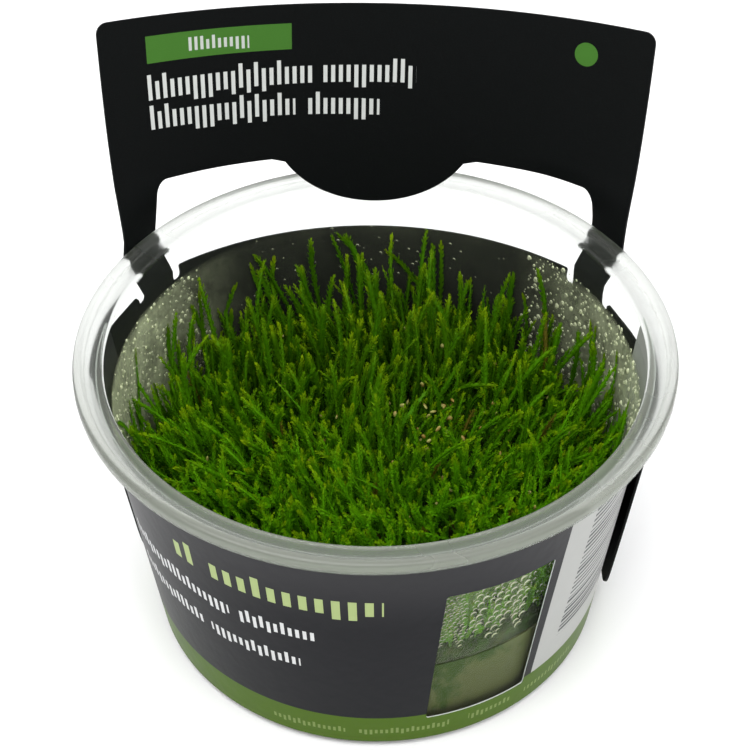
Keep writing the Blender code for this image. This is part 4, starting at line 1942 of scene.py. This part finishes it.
    def mist(self) -> bpy.types.Object:
        """Lay the mist, as a film a little inside the wall.

        Returns:
            The piece.
        """
        columns, rows = self.mist_columns, self.mist_rows
        arcs = np.linspace(-180.0, 180.0, columns + 1)[:-1]
        arc, height = np.meshgrid(arcs, np.linspace(*self.mist_heights, rows), indexing="ij")
        radius = self.cup.inner(height) - self.mist_gap
        turn = np.radians(arc)
        points = np.stack([radius * np.sin(turn), -radius * np.cos(turn), height], axis=-1).reshape(-1, 3)
        left, right, pane = (
            most * self.eased(arc, *start) * self.eased(arc, *end) for most, start, end in self.misted
        )
        lower = np.clip((self.mist_heights[1] - height) / self.mist_fade, 0.0, 1.0)
        mist = np.clip(left + right + pane + self.thin_mist, 0.0, 1.0) * lower
        lattice = np.arange(columns * rows).reshape(columns, rows)
        after = np.roll(lattice, -1, axis=0)
        quads = np.stack([lattice[:, :-1], lattice[:, 1:], after[:, 1:], after[:, :-1]], axis=-1).reshape(-1, 4)
        piece = MeshData(points, [quads], {"mist": mist.reshape(-1)}).piece("mist_film", [Fog().material()])
        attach(piece, BODY)
        return piece

    def build(self) -> List[bpy.types.Object]:
        """Make the mist and the beads.

        Returns:
            The pieces.
        """
        random = np.random.default_rng(self.seed)
        water = WaterDrop().material()
        made = [self.mist()]
        for patch in WallPatch:
            piece = self.beads(patch, random).piece("beads_" + patch.name.lower(), [water])
            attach(piece, BODY)
            made.append(piece)
        return made


@dataclass
class Label:
    """The printed film label with its die-cut window."""

    cup: Cup
    half_angle: float = 100.0
    low: float = 1.5
    high: float = 53.6
    gap: float = 0.1
    thickness: float = 0.2
    corner: float = 1.0
    window: Tuple[Point, ...] = ((11.1, 7.9), (36.8, 7.7), (38.7, 41.9), (13.7, 43.1))
    window_corner: float = 0.6
    edge_step: float = 2.0
    window_step: float = 1.5
    margin: float = 1.0
    column_step: float = 2.0
    rows: int = 16
    smooth_angle: float = 35.0

    def place(self, arc: float, height: float) -> Vector:
        """Find the middle of the film.

        Args:
            arc: Degrees from the front.
            height: Height in millimetres.

        Returns:
            The place.
        """
        radius = self.cup.outer(height) + self.gap + self.thickness / 2
        turn = math.radians(arc)
        return Vector((radius * math.sin(turn), -radius * math.cos(turn), height))

    def build(self) -> bpy.types.Object:
        """Make the label and stand it in for its CAD node.

        Returns:
            The piece.
        """
        wide = self.half_angle
        corners = ((-wide, self.low), (wide, self.low), (wide, self.high), (-wide, self.high))
        outline = rounded_loop([(arc, height, self.corner) for arc, height in corners], self.edge_step)
        hole = rounded_loop([(arc, height, self.window_corner) for arc, height in self.window], self.window_step)
        columns = np.arange(-wide + self.margin, wide, self.column_step)
        rows = np.linspace(self.low + self.margin, self.high - self.margin, self.rows)
        grid = np.stack(np.meshgrid(columns, rows), axis=-1).reshape(-1, 2)
        blank = Blank(outline, hole, grid, self.place, self.thickness)
        ink, edge = LabelPrint().material(), FilmEdge().material()
        piece = blank.mesh().piece("printed_label", [ink, ink, edge], self.smooth_angle)
        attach(piece, BODY)
        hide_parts("wrap_label")
        return piece


@dataclass(frozen=True)
class Notch:
    """A relief notch beside a leg: the leg's angle from the back, and the notch's sizes."""

    leg_angle: float
    width: float
    depth: float
    inner_round: float
    outer_round: float


@dataclass
class Card:
    """The black card: header, two legs, tongue and the panel that hugs the wall."""

    cup: Cup
    thickness: float = 0.42
    lean: float = 9.4
    roll: float = 1.3
    centre: float = 44.4
    curve: float = 61.0
    growth: float = 1.1
    header_top: float = 35.1
    header_corner: float = 2.0
    half_width: float = 49.7
    window_top: float = 6.0
    window_half: float = 41.2
    window_corner: float = 2.0
    tongue_radius: float = 20.0
    tongue_tip: float = -3.5
    tongue_shoulder: float = 2.0
    tongue_steps: int = 24
    leg_radius: float = 51.15
    foot_height: float = 50.0
    knee_height: float = 54.8
    header_blend: float = 8.0
    side_blend: Span = (24.0, 38.0)
    panel_gap: float = 0.6
    panel_over_label: float = 0.55
    panel_flare: float = 0.75
    flare: Span = (68.0, 78.0)
    panel_top: float = -8.1
    panel_sag: float = 3.1
    panel_bottom: float = -52.4
    panel_corner: float = 11.0
    right_end: float = 107.0
    right_taper: Span = (2.5, 1.0)
    left_end: float = 98.0
    left_taper: float = 3.0
    outer_notch: Notch = Notch(62.5, 2.2, 1.5, 1.0, 0.5)
    inner_notch: Notch = Notch(52.7, 2.4, 2.6, 1.1, 0.4)
    reach: float = 110.0
    reach_steps: int = 441
    column_step: float = 1.6
    edge_step: float = 1.6
    window_step: float = 1.2
    row_steps: Tuple[Tuple[float, float, float], ...] = (
        (-50.5, -12.0, 5.5),
        (-12.0, 12.0, 1.3),
        (12.0, 34.5, 2.5),
    )
    smooth_angle: float = 35.0

    def __post_init__(self) -> None:
        """Tabulate flat distances against angles from the back."""
        self.distances = np.linspace(0.0, self.reach, self.reach_steps)
        self.angles = np.array([math.degrees(self.back_angle(float(item))) for item in self.distances])

    def ease(self, value: float, low: float, high: float) -> float:
        """Smooth step from 0 at low to 1 at high."""
        share = max(0.0, min(1.0, (value - low) / (high - low)))
        return share * share * (3.0 - 2.0 * share)

    def header_place(self, across: float, up: float) -> Vector:
        """Find a point of the header's own curve.

        Args:
            across: Flat distance to the right of the card's middle.
            up: Flat distance above the rim's top.

        Returns:
            The place.
        """
        lean = math.radians(self.lean)
        curve = self.curve + self.growth * up
        sag = curve * (1.0 - math.cos(across / curve))
        return Vector(
            (
                curve * math.sin(across / curve),
                self.centre + up * math.sin(lean) - sag * math.cos(lean),
                self.cup.height + up * math.cos(lean) + sag * math.sin(lean),
            )
        )

    def back_angle(self, across: float) -> float:
        """Angle from the back at the rim's height, in radians."""
        at_rim = self.header_place(across, 0.0)
        return math.atan2(at_rim.x, at_rim.y)

    def across_at(self, degrees: float) -> float:
        """Flat distance that lands at an angle from the back."""
        return float(np.interp(degrees, self.angles, self.distances))

    def wrap_radius(self, across: float, height: float) -> float:
        """Find the radius of the card's middle where it goes round the cup.

        Args:
            across: Flat distance to the right of the card's middle.
            height: Height above the floor.

        Returns:
            The radius.
        """
        degrees = abs(math.degrees(self.back_angle(across)))
        offset = self.panel_gap + self.panel_over_label * self.ease(degrees, *self.flare)
        if across > 0:
            offset += self.panel_flare * self.ease(degrees, self.flare[1], self.right_end)
        against_wall = self.cup.outer(min(height, self.foot_height)) + offset
        bend = max(0.0, min(1.0, (height - self.foot_height) / (self.knee_height - self.foot_height)))
        return against_wall + (self.leg_radius - against_wall) * bend

    def place(self, flat_x: float, flat_y: float) -> Vector:
        """Find the middle of the card from its flat blank.

        Args:
            flat_x: Distance along the blank, from its middle.
            flat_y: Distance up the blank, from the rim's top.

        Returns:
            The place.
        """
        roll = math.radians(self.roll)
        across = math.cos(roll) * flat_x + math.sin(roll) * flat_y
        up = math.cos(roll) * flat_y - math.sin(roll) * flat_x
        header = self.header_place(across, up)
        wrapped = (1.0 - self.ease(up, 0.0, self.header_blend)) * self.ease(abs(across), *self.side_blend)
        if up < (self.panel_top + self.tongue_tip) / 2:
            wrapped = 1.0
        if wrapped == 0.0:
            return header
        height = self.cup.height + up
        radius = self.wrap_radius(across, height)
        angle = self.back_angle(across)
        return header.lerp(Vector((radius * math.sin(angle), radius * math.cos(angle), height)), wrapped)

    def outline(self) -> List[Corner]:
        """Set out the card's outer edge.

        Returns:
            Its corners, anticlockwise.
        """
        notch = self.outer_notch
        leg, foot = self.half_width, self.across_at(notch.leg_angle)
        right, left = self.across_at(self.right_end), -self.across_at(self.left_end)
        top, bottom, corner = self.panel_top, self.panel_bottom, self.panel_corner
        relief = top - notch.depth
        return [
            (right - self.right_taper[0], bottom, corner),
            (right, (top + bottom) / 2, corner),
            (right - self.right_taper[1], top, corner / 2),
            (foot + notch.width, top, notch.outer_round),
            (foot + notch.width, relief, notch.inner_round),
            (foot, relief, notch.inner_round),
            (leg, 0.0, 0.0),
            (leg, self.header_top, self.header_corner),
            (-leg, self.header_top, self.header_corner),
            (-leg, 0.0, 0.0),
            (-foot, relief, notch.inner_round),
            (-foot - notch.width, relief, notch.inner_round),
            (-foot - notch.width, top, notch.outer_round),
            (left, top, corner / 2),
            (left + self.left_taper, bottom, corner),
        ]

    def tongue(self) -> List[Corner]:
        """Set out the round tongue that hangs into the window.

        Returns:
            Points from its right root to its left one.
        """
        centre = self.tongue_tip + self.tongue_radius
        root = math.acos((centre - self.window_top) / self.tongue_radius)
        steps = self.tongue_steps
        return [
            (self.tongue_radius * math.sin(turn), centre - self.tongue_radius * math.cos(turn), 0.0)
            for turn in (root * step / steps for step in range(steps, -steps - 1, -1))
        ]

    def opening(self) -> List[Corner]:
        """Set out the window that the rim passes through.

        Returns:
            Its corners, anticlockwise.
        """
        notch = self.inner_notch
        half, foot = self.window_half, self.across_at(notch.leg_angle)
        relief = self.panel_top - notch.depth
        band = [
            (share * (foot - notch.width), self.panel_top - self.panel_sag * (1.0 - share * share), 0.0)
            for share in (step / 10 for step in range(-9, 10))
        ]
        tongue = self.tongue()
        shoulder = tongue[0][0] + self.tongue_shoulder
        return [
            *band,
            (foot - notch.width, self.panel_top, notch.outer_round),
            (foot - notch.width, relief, notch.inner_round),
            (foot, relief, notch.inner_round),
            (half, 0.0, 0.0),
            (half, self.window_top, self.window_corner),
            (shoulder, self.window_top, 0.0),
            *tongue[1:-1],
            (-shoulder, self.window_top, 0.0),
            (-half, self.window_top, self.window_corner),
            (-half, 0.0, 0.0),
            (-foot, relief, notch.inner_round),
            (-foot + notch.width, relief, notch.inner_round),
            (-foot + notch.width, self.panel_top, notch.outer_round),
        ]

    def build(self) -> bpy.types.Object:
        """Make the card and stand it in for its CAD node.

        Returns:
            The piece.
        """
        reach = self.across_at(self.right_end)
        columns = np.arange(-reach, reach, self.column_step)
        rows = np.concatenate([np.arange(*steps) for steps in self.row_steps])
        grid = np.stack(np.meshgrid(columns, rows), axis=-1).reshape(-1, 2)
        outline = rounded_loop(self.outline(), self.edge_step)
        opening = rounded_loop(self.opening(), self.window_step)
        blank = Blank(outline, opening, grid, self.place, self.thickness)
        front, back = BlackCard().material(), BlackCard(printed=False).material()
        piece = blank.mesh().piece("black_card", [front, back, back], self.smooth_angle)
        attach(piece, BODY)
        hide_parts("hang_card")
        return piece


# ---------------------------------------------------------------------------
# Studio
# ---------------------------------------------------------------------------


@dataclass
class Lamp:
    """A square soft light."""

    name: str
    place: Tuple[float, float, float]
    size: float
    power: float
    aim: Tuple[float, float, float] = (0.0, 0.0, 0.03)

    def build(self) -> None:
        """Hang the light."""
        data = bpy.data.lights.new(self.name, "AREA")
        data.shape = "SQUARE"
        data.size = self.size
        data.energy = self.power
        made = bpy.data.objects.new(self.name, data)
        made.location = self.place
        made.rotation_euler = (Vector(self.aim) - Vector(self.place)).to_track_quat("-Z", "Y").to_euler()
        bpy.context.scene.collection.objects.link(made)


@dataclass
class Studio:
    """Floor, soft light and camera."""

    camera_side: float = -0.0001
    camera_distance: float = 0.22232
    camera_height: float = 0.25086
    camera_pitch: float = 42.17
    camera_roll: float = -0.52
    focal: float = 84.48
    sensor: float = 36.0
    nearest: float = 0.01
    floor_size: float = 6000.0
    floor_drop: float = 0.00005
    sky: Colour = (1.0, 1.0, 1.0)
    overhead: Colour = (0.16, 0.16, 0.17)
    overhead_rise: float = 0.85
    front_rise: float = 0.35
    front_heights: Span = (0.0, 0.35)
    overhead_edge: Span = (0.1, 0.8)
    lamps: Tuple[Lamp, ...] = (
        Lamp("key_light", (-0.30, -0.28, 1.00), 0.9, 11.0),
        Lamp("fill_light", (0.50, -0.40, 0.90), 0.9, 6.5),
        Lamp("back_light", (0.1, 0.7, 0.8), 0.9, 2.5),
    )

    def floor(self) -> None:
        """Lay the floor a hair below the object's foot."""
        half = self.floor_size / 2
        points = np.array([[-half, -half, 0.0], [half, -half, 0.0], [half, half, 0.0], [-half, half, 0.0]])
        piece = MeshData(points, [np.array([[0, 1, 2, 3]])]).piece("floor", [PaleFloor().material()])
        piece.location.z = -self.floor_drop

    def world(self) -> None:
        """Light the room evenly, a little dimmer overhead at the front."""
        world = bpy.data.worlds.new("soft_room")
        bpy.context.scene.world = world
        graph = Graph(world)
        _, back, up = graph.parts(graph.node("ShaderNodeTexCoord", output="Generated"))
        front = back * up.eased(*self.front_heights) * self.front_rise
        share = (up * self.overhead_rise - front).eased(*self.overhead_edge)
        colour = graph.blend(share, self.sky, self.overhead)
        graph.surface(graph.node("ShaderNodeBackground", inputs={"Color": colour, "Strength": 1.0}))

    def camera(self) -> None:
        """Set up the camera."""
        data = bpy.data.cameras.new("camera")
        data.sensor_width = self.sensor
        data.lens = self.focal
        data.clip_start = self.nearest
        made = bpy.data.objects.new("camera", data)
        made.matrix_world = (
            Matrix.Translation((self.camera_side, -self.camera_distance, self.camera_height))
            @ Matrix.Rotation(math.radians(90.0 - self.camera_pitch), 4, "X")
            @ Matrix.Rotation(math.radians(self.camera_roll), 4, "Z")
        )
        bpy.context.scene.collection.objects.link(made)
        bpy.context.scene.camera = made

    def build(self) -> None:
        """Set up the studio."""
        self.floor()
        self.world()
        self.camera()
        for lamp in self.lamps:
            lamp.build()
        bpy.context.scene.view_settings.view_transform = "Standard"


def main() -> None:
    """Build every piece in order."""
    logging.basicConfig(level=logging.INFO, format="%(name)s: %(message)s")
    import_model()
    cup = Cup()
    for maker in (cup, Gel(cup), Moss(cup), Scraps(), Condensation(cup), Label(cup), Card(cup)):
        made = maker.build()
        for piece in made if isinstance(made, list) else [made]:
            LOG.info("%s: %d faces", piece.name, len(piece.data.polygons))
    Studio().build()


if __name__ == "__main__":
    main()
